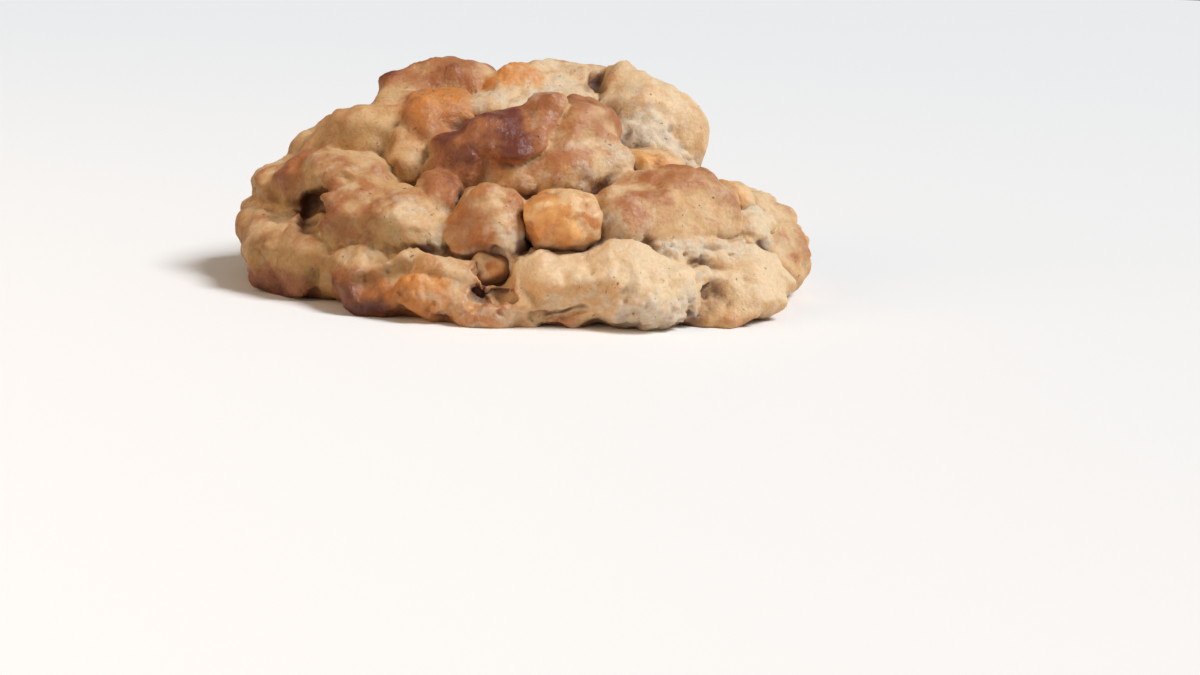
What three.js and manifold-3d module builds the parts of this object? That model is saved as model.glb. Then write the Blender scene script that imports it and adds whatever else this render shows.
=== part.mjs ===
// A thick, craggy peanut butter cookie with peanut butter chips.
// Millimetres, +Z up. The origin is on the flat underside, in the middle of the
// place where the cookie lies, and the side with the large chip faces -Y.
//
// The dough is one solid. Its surface is where a distance-like function is zero:
// a low round puddle, a dome on it, and many masses of dough, each made of one to
// five lumps. A lump is an ellipsoid. Lumps of one mass run together softly, and
// masses meet in a crease. Lumps above the rim are deeper below their middle, as if
// they sagged. All of it is bent by a smooth noise and cut flat at z = 0. The chips
// are rounded blocks, solids of their own, in pockets of the dough.

import * as THREE from 'three';
import { mergeVertices } from 'three/addons/utils/BufferGeometryUtils.js';
import Module from 'manifold-3d';

// ---- driving dimensions ----------------------------------------------------

const OUTLINE_RADIUS = 41.6;      // mean radius of the puddle's outline
const RIM_ROUNDING = 4.0;         // half of the puddle's thickness, and its edge radius
const DOME = [0, 3, 4, 36, 33, 20.5, 0, 0];      // as a lump, see below
const WITHIN_MASS = 1.4;          // how softly the lumps of one mass run together
const BETWEEN_MASSES = 0.55;      // and the masses
const SAG = { depth: 1.4, from: 9, to: 22 };     // lumps at these heights are deeper below
const LARGE_BEND = { size: 9.0, amount: 1.8 };   // wandering of the lumps' outlines
const SMALL_BEND = { size: 4.2, amount: 1.0 };
const RELIEF = { size: 5.5, amount: 0.55, level: 0.15 };   // dents on the lumps
const POCKET_GAP = 0.3;           // air between a chip and its pocket
const CHIP_UNEVENNESS = 0.09;     // of a chip's radius
const CHIP_DENTS = { spread: 8, size: 6 };       // of the noise that makes it uneven
const CHIP_SQUARENESS = 2.35;     // 2 is an ellipsoid, and more is squarer
const CHIP_FULLNESS = 0.97;       // of its half-sizes

const GRID = 62;                  // points along a side of the surface grid
const EVENING_ROUNDS = 16;        // rounds that spread its points evenly
const UNDERSIDE_RINGS = [0.56, 0.4];   // each ring, as a share of the one outside it
const LEAST_LIFT = 0.35;          // the lowest a point above the floor may lie

// The outline isn't round: low waves [amount, times round, start] in mm and radians,
// and a flat place at the front left, at an angle and with a width in radians
const WAVES = [[0.9, 1, 1.1], [0.5, 2, 2.5], [0.5, 3, 1.0], [0.4, 5, 0]];
const FLAT_PLACE = { at: 205, width: 0.32, depth: 2.2 };

// Masses that show from the front, and their lumps:
// [x, y, z, half_x, half_y, half_z, turn about z, lean], mm and degrees
const MASSES = {
  // the rim, from left to right
  left_rim: {
    back: [-41.2, 1.5, 8.2, 4.8, 7.5, 4.8, 10, 0],
    middle: [-38.4, -9.0, 7.6, 7.2, 9.6, 5.8, 22, -6],
    front: [-32.0, -20.0, 6.2, 7.6, 6.8, 4.9, 42, -8],
    yellow: [-30.4, -24.2, 6.8, 3.2, 4.5, 3.6, 30, -10],
    button: [-39.8, -18.5, 8.0, 2.0, 2.6, 2.0, 0, 0],
    low: [-34.6, -18.6, 2.0, 5.6, 9.5, 3.4, 30, -6],
  },
  front_left: {
    pale: [-23.0, -29.4, 5.4, 5.4, 6.2, 3.2, 30, -10],
    tan: [-12.0, -33.6, 5.4, 8.4, 6.5, 3.2, 15, -14],
    low: [-21.0, -32.2, 2.0, 7.2, 6.0, 2.8, 28, -8],
  },
  crumbly: {
    left: [-13.0, -37.0, 2.6, 6.4, 5.0, 2.8, 14, -16],
    right: [-6.0, -39.0, 2.0, 5.0, 5.0, 3.0, 5, -6],
  },
  front_roll: {
    left: [3.6, -36.3, 6.8, 5.8, 6.8, 3.6, 8, 0],
    middle: [10.8, -36.8, 6.2, 6.8, 6.8, 3.9, 2, 2],
    right: [17.6, -35.6, 6.8, 6.8, 7.2, 4.2, -8, -4],
    floury: [16.5, -37.4, 3.2, 7.4, 5.8, 3.6, -5, 0],
    end: [25.0, -32.2, 4.2, 3.4, 5.0, 4.4, -30, 0],
  },
  under_roll: {
    left: [1.2, -32.8, 1.2, 5.0, 6.0, 2.8, 8, 0],
    crumbs: [7.6, -35.2, 1.7, 4.4, 5.0, 2.2, 0, 0],
  },
  front_right: {
    left: [30.0, -28.0, 4.6, 8.5, 6.6, 4.6, -38, 2],
    right: [33.8, -22.8, 5.0, 5.6, 5.6, 4.4, -45, 2],
    low: [26.0, -31.0, 1.8, 8.0, 5.8, 3.4, -30, 0],
  },
  right_end: {
    front: [40.4, -10.0, 6.4, 4.8, 8.5, 5.7, -18, 6],
    back: [38.6, 6.5, 5.6, 4.8, 7.0, 4.6, 10, 0],
  },
  // the second step
  left_block: {
    ridge: [-33.5, -8.5, 15.6, 7.0, 6.5, 4.0, 15, 4],
    top: [-26.0, -14.0, 16.6, 8.0, 8.0, 4.4, 10, -10],
    front: [-23.5, -23.5, 11.2, 8.0, 8.0, 5.6, 15, -12],
    right: [-16.3, -27.0, 12.0, 6.0, 7.0, 4.8, 5, -22],
    facet: [-13.2, -29.0, 9.8, 4.2, 4.2, 2.8, 0, -20],
  },
  small_red: {
    whole: [-13.3, -25.2, 15.2, 3.8, 4.8, 4.2, 0, -24],
  },
  mid_lump: {
    top: [-5.4, -30.5, 14.2, 5.6, 6.0, 5.0, 0, 0],
    beak: [-3.6, -32.2, 10.4, 3.2, 4.6, 3.0, 0, -10],
    dark: [-7.0, -33.2, 12.6, 2.0, 2.6, 3.0, 0, -24],
  },
  beside_chip: {
    whole: [13.4, -30.0, 12.0, 4.6, 4.8, 4.0, 0, -22],
    bed: [5.2, -28.6, 13.0, 6.4, 5.0, 5.0, 0, 0],
  },
  right_fold: {
    whole: [15.4, -26.6, 14.0, 6.0, 7.6, 5.8, -8, -8],
  },
  right_block: {
    left: [19.6, -24.6, 14.2, 5.0, 8.0, 5.6, -16, 0],
    right: [25.4, -22.0, 13.4, 7.0, 8.0, 6.2, -28, -8],
    top: [20.8, -20.0, 16.2, 7.4, 7.5, 4.2, -10, -4],
  },
  block_foot: {
    middle: [18.2, -28.8, 10.6, 6.6, 5.0, 3.4, -14, 0],
    whole: [26.8, -25.6, 9.2, 5.8, 4.8, 3.0, -34, 6],
  },
  right_shoulder: {
    front: [36.6, -4.0, 11.2, 6.2, 8.0, 4.8, 0, -26],
    back: [33.0, 4.5, 12.0, 6.6, 8.0, 4.6, 0, -26],
    column: [34.4, -17.0, 11.0, 3.6, 6.0, 4.8, -10, -34],
  },
  // the browned crown
  crown_left: {
    low: [-10.4, -16.9, 20.4, 5.2, 7.0, 5.2, 10, -14],
  },
  crown_dark: {
    left: [-6.4, -17.0, 23.8, 4.6, 6.4, 3.8, 8, 4],
    right: [-3.0, -17.2, 22.6, 3.4, 6.0, 3.8, 0, 10],
    ridge: [0.2, -16.8, 24.8, 5.8, 4.8, 1.8, 0, 50],
    nub: [3.2, -14.8, 29.4, 1.8, 2.4, 2.2, 0, 0],
  },
  crown_slope: {
    brow: [8.0, -12.8, 26.0, 5.2, 7.5, 5.2, 0, -6],
    face: [6.6, -16.8, 21.6, 6.0, 6.0, 4.4, 0, 0],
    foot: [-0.6, -18.6, 18.0, 6.8, 6.0, 3.0, 0, 4],
    right: [5.0, -18.4, 19.0, 6.0, 6.0, 3.4, 0, 8],
    behind: [3.5, -9.0, 23.4, 7.5, 4.2, 4.6, 0, 0],
  },
  ledge_right: {
    whole: [11.1, -17.4, 19.8, 4.4, 6.0, 4.4, 0, 0],
  },
  // the top step
  left_edge: {
    whole: [-39.0, -3.2, 15.6, 5.0, 7.4, 3.0, 0, 26],
  },
  left_shoulder: {
    front: [-24.8, -3.0, 21.6, 7.6, 8.8, 5.2, 0, 4],
    left: [-33.0, 1.5, 19.0, 6.0, 8.0, 4.6, 0, 14],
    high: [-19.6, 1.5, 25.4, 5.4, 7.0, 4.8, 0, 6],
  },
  left_inner: {
    front: [-18.2, -13.0, 18.6, 3.8, 5.5, 4.6, 0, -14],
    crumbs: [-18.6, -8.5, 20.6, 3.6, 4.4, 4.0, 0, -10],
  },
  left_of_crown: {
    top: [-14.0, -5.0, 26.0, 6.0, 6.5, 4.8, 0, -8],
    dark: [-18.0, -6.0, 24.6, 2.6, 5.0, 3.8, 0, 0],
    strip: [-16.0, -10.0, 20.8, 3.4, 5.2, 5.4, 0, -14],
  },
  top_left: {
    end: [-19.2, 7.5, 29.4, 5.6, 7.6, 3.8, 0, 2],
    right: [-11.8, 8.5, 30.4, 6.8, 7.4, 4.0, 0, 2],
    behind: [-16.5, 11.5, 24.4, 8.0, 7.0, 5.6, 0, 0],
  },
  top_middle: {
    orange: [-2.6, 5.0, 30.6, 4.8, 5.6, 3.8, 0, 0],
    pale_left: [-5.0, -2.4, 27.2, 7.0, 7.0, 3.8, 0, 0],
    pale_right: [6.0, 1.6, 28.0, 6.0, 6.0, 3.8, 0, 0],
    left: [3.6, 10.5, 30.9, 5.6, 7.2, 3.9, 0, 0],
    right: [9.6, 10.5, 29.8, 5.2, 7.0, 4.2, 0, -4],
  },
  top_right: {
    edge: [15.6, 6.4, 28.6, 6.0, 8.0, 5.2, 0, -26],
    middle: [20.6, 2.5, 25.6, 5.6, 8.0, 6.4, 0, -26],
    end: [23.8, -0.2, 22.6, 4.6, 8.0, 6.2, 0, -14],
    face: [15.6, 0.6, 27.0, 5.0, 6.2, 4.4, 0, -20],
  },
  flaky: {
    upper: [17.6, -5.2, 24.4, 6.0, 6.0, 2.8, 0, 2],
    lower: [19.8, -6.5, 21.8, 6.4, 6.0, 2.8, 0, -6],
  },
  slab_bed: {
    whole: [21.5, -12.0, 18.6, 7.5, 6.5, 3.0, 0, -6],
  },
};

// Cracks and hollows, in the same way
const HOLLOWS = {
  hollow_left: [-32.2, -21.2, 12.4, 2.1, 8.0, 3.6, 10, -30],
  recess_roll: [4.2, -44.4, 2.0, 7.0, 4.2, 1.7, 0, 2],
  chip_nook: [-4.9, -38.8, 7.4, 3.2, 5.0, 2.8, 0, 0],
  recess_top: [11.0, 5.6, 32.4, 1.5, 3.8, 2.0, 0, 14],
};

// Chips, in the same way
const CHIPS = {
  chip_front: [5.0, -33.6, 14.4, 5.7, 5.7, 4.8, 0, 0],
  chip_crack: [-5.2, -33.4, 6.8, 3.4, 3.2, 3.2, 0, 0],
  chip_slab: [18.6, -13.8, 20.8, 5.8, 5.0, 2.5, 0, 0],
  chip_shoulder: [32.6, -8.4, 15.2, 4.0, 4.0, 2.8, 0, -30],
  chip_back: [-1.8, 20.9, 24.3, 4.7, 4.2, 3.5, 0, 0],
  chip_back_side: [16.1, 26.4, 17.0, 4.5, 4.6, 3.5, -20, 8],
  chip_back_left: [-21.7, 14.6, 19.2, 4.4, 4.7, 3.5, 10, 0],
};

// The side that is hidden in the front view, by a rule with seeded draws
const BACK_SEED = 5;
const BACK_RIM = {
  from: 8, to: 176,               // degrees round from +X
  half: [7.5, 12.5], radius: [36.0, 38.2], height: [5.4, 7.2], depth: [5.6, 7.2],
  thickness: [4.2, 5.4], turn: [-9, 9], lean: [-6, 6],
  overlap: 1.55,                  // spacing, in half-lengths
};
const BACK_SLOPE = {
  sizes: [...Array(4).fill(11.0), ...Array(8).fill(8.4), ...Array(10).fill(6.4),
    ...Array(12).fill(4.6)],
  vary: [0.88, 1.12], x: [-34, 34], y: [6, 36], rim: 35, tries: 40,
  behind: 7, widening: 0.22,      // least y in the middle, and its growth with x
  halfY: [0.62, 0.95], halfZ: [0.5, 0.68], turn: [0, 180], lean: [-16, 16],
  apart: 0.6,                     // least spacing, in sums of sizes
  loneLumps: 9,                   // that start a mass of their own
  radius: 38, height: 20.5, base: 6.4, power: 2.2, sink: 0.1,
};

// ---- seeded numbers and smooth noise ----------------------------------------

function hash(i, j, k, seed) {
  let h = Math.imul(i, 374761393) + Math.imul(j, 668265263);
  h = (h + Math.imul(k, 2147483629) + Math.imul(seed, 1013904223)) >>> 0;
  h = Math.imul(h ^ (h >>> 13), 1274126177) >>> 0;
  h = Math.imul(h ^ (h >>> 15), 2246822519) >>> 0;
  return (h ^ (h >>> 16)) >>> 0;
}

const SLOPES = [
  [1, 1, 0], [-1, 1, 0], [1, -1, 0], [-1, -1, 0], [1, 0, 1], [-1, 0, 1], [1, 0, -1], [-1, 0, -1],
  [0, 1, 1], [0, -1, 1], [0, 1, -1], [0, -1, -1], [1, 1, 0], [-1, 1, 0], [0, -1, 1], [0, -1, -1],
];

const ease = (t) => t * t * t * (t * (t * 6 - 15) + 10);

// Gradient noise: each corner of a cubic lattice has a slope of its own, and
// the eight slopes around a point are blended smoothly.
function noise(x, y, z, size, seed) {
  const px = x / size;
  const py = y / size;
  const pz = z / size;
  const i = Math.floor(px);
  const j = Math.floor(py);
  const k = Math.floor(pz);
  const fx = px - i;
  const fy = py - j;
  const fz = pz - k;
  const sx = ease(fx);
  const sy = ease(fy);
  const sz = ease(fz);
  let sum = 0;
  for (let corner = 0; corner < 8; corner++) {
    const dx = corner >> 2;
    const dy = (corner >> 1) & 1;
    const dz = corner & 1;
    const slope = SLOPES[hash(i + dx, j + dy, k + dz, seed) & 15];
    const weight = (dx ? sx : 1 - sx) * (dy ? sy : 1 - sy) * (dz ? sz : 1 - sz);
    sum += weight * (slope[0] * (fx - dx) + slope[1] * (fy - dy) + slope[2] * (fz - dz));
  }
  return sum;
}

function drawer(seed) {
  let count = 0;
  return (low, high) => {
    count += 1;
    return low + (high - low) * hash(count, 0, 0, seed) / 4294967296;
  };
}

// ---- the masses of the hidden side ---------------------------------------------

function backMasses() {
  const draw = drawer(BACK_SEED);
  const masses = [];
  // lumps side by side along the rim
  let angle = BACK_RIM.from;
  while (angle < BACK_RIM.to) {
    const half = draw(...BACK_RIM.half);
    const step = THREE.MathUtils.radToDeg(half * BACK_RIM.overlap / BACK_SLOPE.radius);
    const middle = THREE.MathUtils.degToRad(angle + step / 2);
    const radius = draw(...BACK_RIM.radius);
    const height = draw(...BACK_RIM.height);
    const depth = draw(...BACK_RIM.depth);
    const thickness = draw(...BACK_RIM.thickness);
    const turn = THREE.MathUtils.radToDeg(middle) - 90 + draw(...BACK_RIM.turn);
    const lean = draw(...BACK_RIM.lean);
    masses.push([[radius * Math.cos(middle), radius * Math.sin(middle), height,
      half, depth, thickness, turn, lean]]);
    angle += step;
  }
  // lumps of falling size, thrown on the slope wherever there is room; the later
  // ones join the mass of their nearest neighbour
  const placed = [];
  for (const nominal of BACK_SLOPE.sizes) {
    const size = nominal * draw(...BACK_SLOPE.vary);
    let x = 0;
    let y = 0;
    let gaps = [];
    let found = false;
    for (let attempt = 0; attempt < BACK_SLOPE.tries && !found; attempt++) {
      x = draw(...BACK_SLOPE.x);
      y = draw(...BACK_SLOPE.y);
      gaps = placed.map((other) => Math.hypot(x - other.x, y - other.y));
      found = Math.hypot(x, y) < BACK_SLOPE.rim
        && y > BACK_SLOPE.behind + Math.abs(x) * BACK_SLOPE.widening
        && placed.every((other, n) => gaps[n] > BACK_SLOPE.apart * (size + other.size));
    }
    if (!found) continue;
    const outwards = Math.hypot(x, y) / BACK_SLOPE.radius;
    const z = BACK_SLOPE.base + BACK_SLOPE.height * (1 - outwards ** BACK_SLOPE.power)
      - size * BACK_SLOPE.sink;
    const halfY = size * draw(...BACK_SLOPE.halfY);
    const halfZ = size * draw(...BACK_SLOPE.halfZ);
    const turn = draw(...BACK_SLOPE.turn);
    const lean = draw(...BACK_SLOPE.lean);
    let mass = [];
    if (placed.length >= BACK_SLOPE.loneLumps) mass = placed[gaps.indexOf(Math.min(...gaps))].mass;
    else masses.push(mass);
    mass.push([x, y, z, size, halfY, halfZ, turn, lean]);
    placed.push({ x, y, size, mass });
  }
  return masses;
}

// ---- the dough's surface -------------------------------------------------------

// Rows of the matrix that turns a point into the lump's own directions
function placedEllipsoid([x, y, z, halfX, halfY, halfZ, turn, lean]) {
  const a = THREE.MathUtils.degToRad(turn);
  const b = THREE.MathUtils.degToRad(lean);
  const ca = Math.cos(a);
  const sa = Math.sin(a);
  const cb = Math.cos(b);
  const sb = Math.sin(b);
  return {
    x, y, z, halfX, halfY, halfZ, sag: 1,
    rows: [ca * cb, sa * cb, sb, -sa, ca, 0, -ca * sb, -sa * sb, cb],
  };
}

// Distance to an ellipsoid, close to true near its surface
function ellipsoidDistance(e, x, y, z) {
  const dx = x - e.x;
  const dy = y - e.y;
  const dz = z - e.z;
  const r = e.rows;
  const qx = (dx * r[0] + dy * r[1] + dz * r[2]) / e.halfX;
  const qy = (dx * r[3] + dy * r[4] + dz * r[5]) / e.halfY;
  const lift = dx * r[6] + dy * r[7] + dz * r[8];
  const halfZ = lift < 0 ? e.halfZ * e.sag : e.halfZ;
  const qz = lift / halfZ;
  const k0 = Math.hypot(qx, qy, qz) + 1e-9;
  const k1 = Math.hypot(qx / e.halfX, qy / e.halfY, qz / halfZ) + 1e-9;
  return k0 * (k0 - 1) / k1;
}

// A lump that leans on others sags onto the step below it
function saggedLump(row) {
  const lump = placedEllipsoid(row);
  if (lump.z > SAG.from && lump.z < SAG.to) lump.sag = SAG.depth;
  return lump;
}

const masses = [...Object.values(MASSES).map((mass) => Object.values(mass)), ...backMasses()]
  .map((mass) => mass.map(saggedLump));
const hollows = Object.values(HOLLOWS).map(placedEllipsoid);
const dome = placedEllipsoid(DOME);

// The smallest of the values, less where several are nearly as small
function softMinimum(values, softness) {
  if (values.length === 1) return values[0];
  const lowest = Math.min(...values);
  let sum = 0;
  for (const value of values) sum += Math.exp(-(value - lowest) / softness);
  return lowest - softness * Math.log(sum);
}

function outlineRadius(angle) {
  const flatAt = THREE.MathUtils.degToRad(FLAT_PLACE.at);
  const away = THREE.MathUtils.euclideanModulo(angle - flatAt + Math.PI, 2 * Math.PI) - Math.PI;
  let radius = OUTLINE_RADIUS - FLAT_PLACE.depth * Math.exp(-((away / FLAT_PLACE.width) ** 2));
  for (const [amount, times, start] of WAVES) radius += amount * Math.cos(times * angle + start);
  return radius;
}

function puddleDistance(x, y, z) {
  const inner = outlineRadius(Math.atan2(y, x)) - RIM_ROUNDING;
  const across = Math.max(Math.hypot(x, y) - inner, 0);
  return Math.hypot(across, z - RIM_ROUNDING) - RIM_ROUNDING;
}

function doughDistance(x, y, z) {
  let bx = x + LARGE_BEND.amount * noise(x, y, z, LARGE_BEND.size, 1);
  let by = y + LARGE_BEND.amount * noise(x, y, z, LARGE_BEND.size, 2);
  let bz = z + LARGE_BEND.amount * noise(x, y, z, LARGE_BEND.size, 3);
  const small = [4, 5, 6].map((seed) => noise(bx, by, bz, SMALL_BEND.size, seed));
  bx += SMALL_BEND.amount * small[0];
  by += SMALL_BEND.amount * small[1];
  bz += SMALL_BEND.amount * small[2];
  const each = [puddleDistance(bx, by, bz), ellipsoidDistance(dome, bx, by, bz)];
  for (const mass of masses) {
    each.push(softMinimum(mass.map((lump) => ellipsoidDistance(lump, bx, by, bz)), WITHIN_MASS));
  }
  let f = softMinimum(each, BETWEEN_MASSES) + RELIEF.level;
  f -= RELIEF.amount * Math.abs(noise(x, y, z, RELIEF.size, 11));
  for (const hollow of hollows) f = Math.max(f, -ellipsoidDistance(hollow, bx, by, bz));
  return f;
}

// ---- a closed mesh on that surface --------------------------------------------

// Square grid to disc, so that there is no crowded pole
function toDisc(a, b) {
  if (a === 0 && b === 0) return [0, 0];
  if (Math.abs(a) > Math.abs(b)) return [a, (Math.PI / 4) * (b / a)];
  return [b, Math.PI / 2 - (Math.PI / 4) * (a / b)];
}

// Each grid point looks inward from a rounded shell until it meets the dough.
// It looks straight down in the middle, slanting over the steps, level at the
// rim, and along the floor on the last ring.
const SHELL = { radius: 46, height: 30, base: 3.5, wallShare: 2 / 24.5, margin: 12, reach: 34 };
const STEP = { share: 0.7, most: 1.2, near: 0.02 };       // of a look along the sight line
const SLIDE = { probe: 0.25, rounds: 2, most: 1.5, share: 0.8, flattest: 0.3 };

function firstHit(a, b) {
  const [signed, angle] = toDisc(a, b);
  const s = Math.abs(signed);
  const turn = signed < 0 ? angle + Math.PI : angle;
  const domeShare = 1 - SHELL.wallShare;
  const t = Math.min(s / domeShare, 1);
  const psi = t * Math.PI / 2;
  const level = t < 1 ? SHELL.base : SHELL.base * (1 - s) / SHELL.wallShare;
  const middling = 2 * t - 1;
  const slant = (Math.PI / 2) * (0.5 + 0.5 * Math.sign(middling) * middling ** 2);
  const nx = Math.cos(turn) * Math.sin(slant);
  const ny = Math.sin(turn) * Math.sin(slant);
  const nz = t < 1 ? Math.cos(slant) : 0;
  const radius = SHELL.radius * Math.sin(psi);
  let x = Math.cos(turn) * radius + SHELL.margin * nx;
  let y = Math.sin(turn) * radius + SHELL.margin * ny;
  let z = level + (t < 1 ? SHELL.height * Math.cos(psi) : 0) + SHELL.margin * nz;
  let travelled = 0;
  while (travelled < SHELL.reach) {
    const f = doughDistance(x, y, z);
    if (f < STEP.near) break;
    const step = Math.min(f * STEP.share, STEP.most);
    x -= nx * step;
    y -= ny * step;
    z -= nz * step;
    travelled += step;
  }
  return [x, y, z];
}

// Slides a point onto the surface along the direction in which f grows
function settle(x, y, z, onFloor) {
  const h = SLIDE.probe;
  for (let i = 0; i < SLIDE.rounds; i++) {
    const f = doughDistance(x, y, z);
    const gx = (doughDistance(x + h, y, z) - f) / h;
    const gy = (doughDistance(x, y + h, z) - f) / h;
    const gz = onFloor ? 0 : (doughDistance(x, y, z + h) - f) / h;
    const slope = Math.max(gx * gx + gy * gy + gz * gz, SLIDE.flattest);
    const scale = SLIDE.share * Math.max(-SLIDE.most, Math.min(SLIDE.most, f)) / slope;
    x -= gx * scale;
    y -= gy * scale;
    z -= gz * scale;
  }
  return onFloor ? [x, y, 0] : [x, y, Math.max(z, LEAST_LIFT)];
}

// Evens out the grid: every point moves towards the middle of its neighbours
// and back onto the surface, so that steep steps get their share of points.
function relaxed(points) {
  const at = (i, j) => points[j * GRID + i];
  const result = [];
  const last = GRID - 1;
  for (let j = 0; j < GRID; j++) {
    for (let i = 0; i < GRID; i++) {
      const onI = i === 0 || i === last;
      const onJ = j === 0 || j === last;
      let near = [at(i - 1, j), at(i + 1, j), at(i, j - 1), at(i, j + 1)];
      if (onI && onJ) near = [at(i === 0 ? 1 : last - 1, j), at(i, j === 0 ? 1 : last - 1)];
      else if (onI) near = [at(i, j - 1), at(i, j + 1)];
      else if (onJ) near = [at(i - 1, j), at(i + 1, j)];
      const own = at(i, j);
      const moved = [0, 1, 2].map((axis) => {
        const mean = near.reduce((sum, p) => sum + p[axis], 0) / near.length;
        return (own[axis] + mean) / 2;
      });
      result.push(settle(...moved, onI || onJ));
    }
  }
  return result;
}

function doughGeometry() {
  let points = [];
  for (let j = 0; j < GRID; j++) {
    for (let i = 0; i < GRID; i++) {
      points.push(firstHit(-1 + 2 * i / (GRID - 1), -1 + 2 * j / (GRID - 1)));
    }
  }
  for (let round = 0; round < EVENING_ROUNDS; round++) points = relaxed(points);
  const positions = points.flat();
  const indices = [];
  const corner = (i, j) => j * GRID + i;
  for (let j = 0; j < GRID - 1; j++) {
    for (let i = 0; i < GRID - 1; i++) {
      const p = corner(i, j);
      const q = corner(i + 1, j);
      const r = corner(i + 1, j + 1);
      const t = corner(i, j + 1);
      // the diagonal that keeps ridges: the shorter one
      const far = (m, n) => Math.hypot(positions[3 * m] - positions[3 * n],
        positions[3 * m + 1] - positions[3 * n + 1], positions[3 * m + 2] - positions[3 * n + 2]);
      if (far(p, r) <= far(q, t)) indices.push(p, q, r, p, r, t);
      else indices.push(p, q, t, q, r, t);
    }
  }
  // the outline on the floor, once round anticlockwise
  let ring = [];
  for (let i = 0; i < GRID - 1; i++) ring.push(corner(i, 0));
  for (let j = 0; j < GRID - 1; j++) ring.push(corner(GRID - 1, j));
  for (let i = GRID - 1; i > 0; i--) ring.push(corner(i, GRID - 1));
  for (let j = GRID - 1; j > 0; j--) ring.push(corner(0, j));
  for (const shrink of UNDERSIDE_RINGS) {
    const outer = ring;
    ring = outer.filter((_, n) => n % 2 === 0).map((vertex) => {
      positions.push(positions[3 * vertex] * shrink, positions[3 * vertex + 1] * shrink, 0);
      return positions.length / 3 - 1;
    });
    for (let n = 0; n < ring.length; n++) {
      const next = (n + 1) % ring.length;
      const a0 = outer[2 * n];
      const a1 = outer[(2 * n + 1) % outer.length];
      const a2 = outer[(2 * n + 2) % outer.length];
      indices.push(a0, ring[n], a1, a1, ring[n], ring[next], a1, ring[next], a2);
    }
  }
  positions.push(0, 0, 0);
  const middle = positions.length / 3 - 1;
  for (let n = 0; n < ring.length; n++) {
    indices.push(middle, ring[(n + 1) % ring.length], ring[n]);
  }
  const geometry = new THREE.BufferGeometry();
  geometry.setAttribute('position', new THREE.Float32BufferAttribute(positions, 3));
  geometry.setIndex(indices);
  return geometry;
}

// ---- chips ----------------------------------------------------------------------

// A rounded, uneven block around its own middle, grown by a margin for the pocket
function chipGeometry([x, y, z, halfX, halfY, halfZ], margin) {
  const ball = new THREE.IcosahedronGeometry(1, 2);
  ball.deleteAttribute('normal');
  ball.deleteAttribute('uv');
  const geometry = mergeVertices(ball, 1e-5);
  const place = geometry.attributes.position;
  for (let i = 0; i < place.count; i++) {
    const nx = place.getX(i);
    const ny = place.getY(i);
    const nz = place.getZ(i);
    const blocky = [nx, ny, nz].reduce((sum, n) => sum + Math.abs(n) ** CHIP_SQUARENESS, 0)
      ** (-1 / CHIP_SQUARENESS);
    const spread = CHIP_DENTS.spread;
    const dents = noise(nx * spread + x, ny * spread + y, nz * spread + z, CHIP_DENTS.size, 21);
    const uneven = blocky * (CHIP_FULLNESS + CHIP_UNEVENNESS * dents);
    // the margin goes along the ellipsoid's own outward direction
    const gx = nx / halfX;
    const gy = ny / halfY;
    const gz = nz / halfZ;
    const g = Math.hypot(gx, gy, gz);
    place.setXYZ(i, nx * halfX * uneven + margin * gx / g, ny * halfY * uneven + margin * gy / g,
      nz * halfZ * uneven + margin * gz / g);
  }
  return geometry;
}

// turn about z after a lean about the chip's own y
function chipMatrix([x, y, z, , , , turn, lean]) {
  const rotation = new THREE.Matrix4().makeRotationZ(THREE.MathUtils.degToRad(turn));
  rotation.multiply(new THREE.Matrix4().makeRotationY(-THREE.MathUtils.degToRad(lean)));
  return rotation.setPosition(x, y, z);
}

// ---- solids ---------------------------------------------------------------------

const wasm = await Module();
wasm.setup();

function toSolid(geometry) {
  const mesh = new wasm.Mesh({
    numProp: 3,
    vertProperties: new Float32Array(geometry.attributes.position.array),
    triVerts: new Uint32Array(geometry.index.array),
  });
  return new wasm.Manifold(mesh);
}

function toGeometry(solid) {
  const mesh = solid.getMesh();
  const geometry = new THREE.BufferGeometry();
  const points = new Float32Array(mesh.vertProperties);
  geometry.setAttribute('position', new THREE.BufferAttribute(points, 3));
  geometry.setIndex(new THREE.BufferAttribute(new Uint32Array(mesh.triVerts), 1));
  return geometry;
}

let dough = toSolid(doughGeometry());
for (const row of Object.values(CHIPS)) {
  const pocket = chipGeometry(row, POCKET_GAP).applyMatrix4(chipMatrix(row));
  dough = dough.subtract(toSolid(pocket));
}

const doughMaterial = new THREE.MeshStandardMaterial({
  color: '#cfa872', roughness: 0.78, metalness: 0,
});

const cookie = new THREE.Group();
const doughMesh = new THREE.Mesh(toGeometry(dough), doughMaterial);
doughMesh.name = 'cookie_dough';
doughMesh.material.name = 'baked_dough';
cookie.add(doughMesh);

for (const [name, row] of Object.entries(CHIPS)) {
  const material = new THREE.MeshStandardMaterial({
    color: '#d98a3d', roughness: 0.42, metalness: 0,
  });
  material.name = 'peanut_butter_chip';
  const chip = new THREE.Mesh(chipGeometry(row, 0), material);
  chip.name = name;
  chipMatrix(row).decompose(chip.position, chip.quaternion, chip.scale);
  cookie.add(chip);
}

export default cookie;
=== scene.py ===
# %% [markdown]
# A peanut butter cookie, built as a lesson in surfaces
#
# The cookie is thick and craggy: a low round rim, steps of rough lumps above it, a
# browned crown near the middle, and orange-brown chips that sit in the dough. The solids
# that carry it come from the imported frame. This script dresses them: one fine dough
# surface, smooth chips, the baked and waxy finishes, and a pale studio.

# %% Load the frame and keep its box
import itertools
import math
from types import SimpleNamespace
import bpy
import numpy as np
from mathutils import Matrix, Vector


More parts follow.
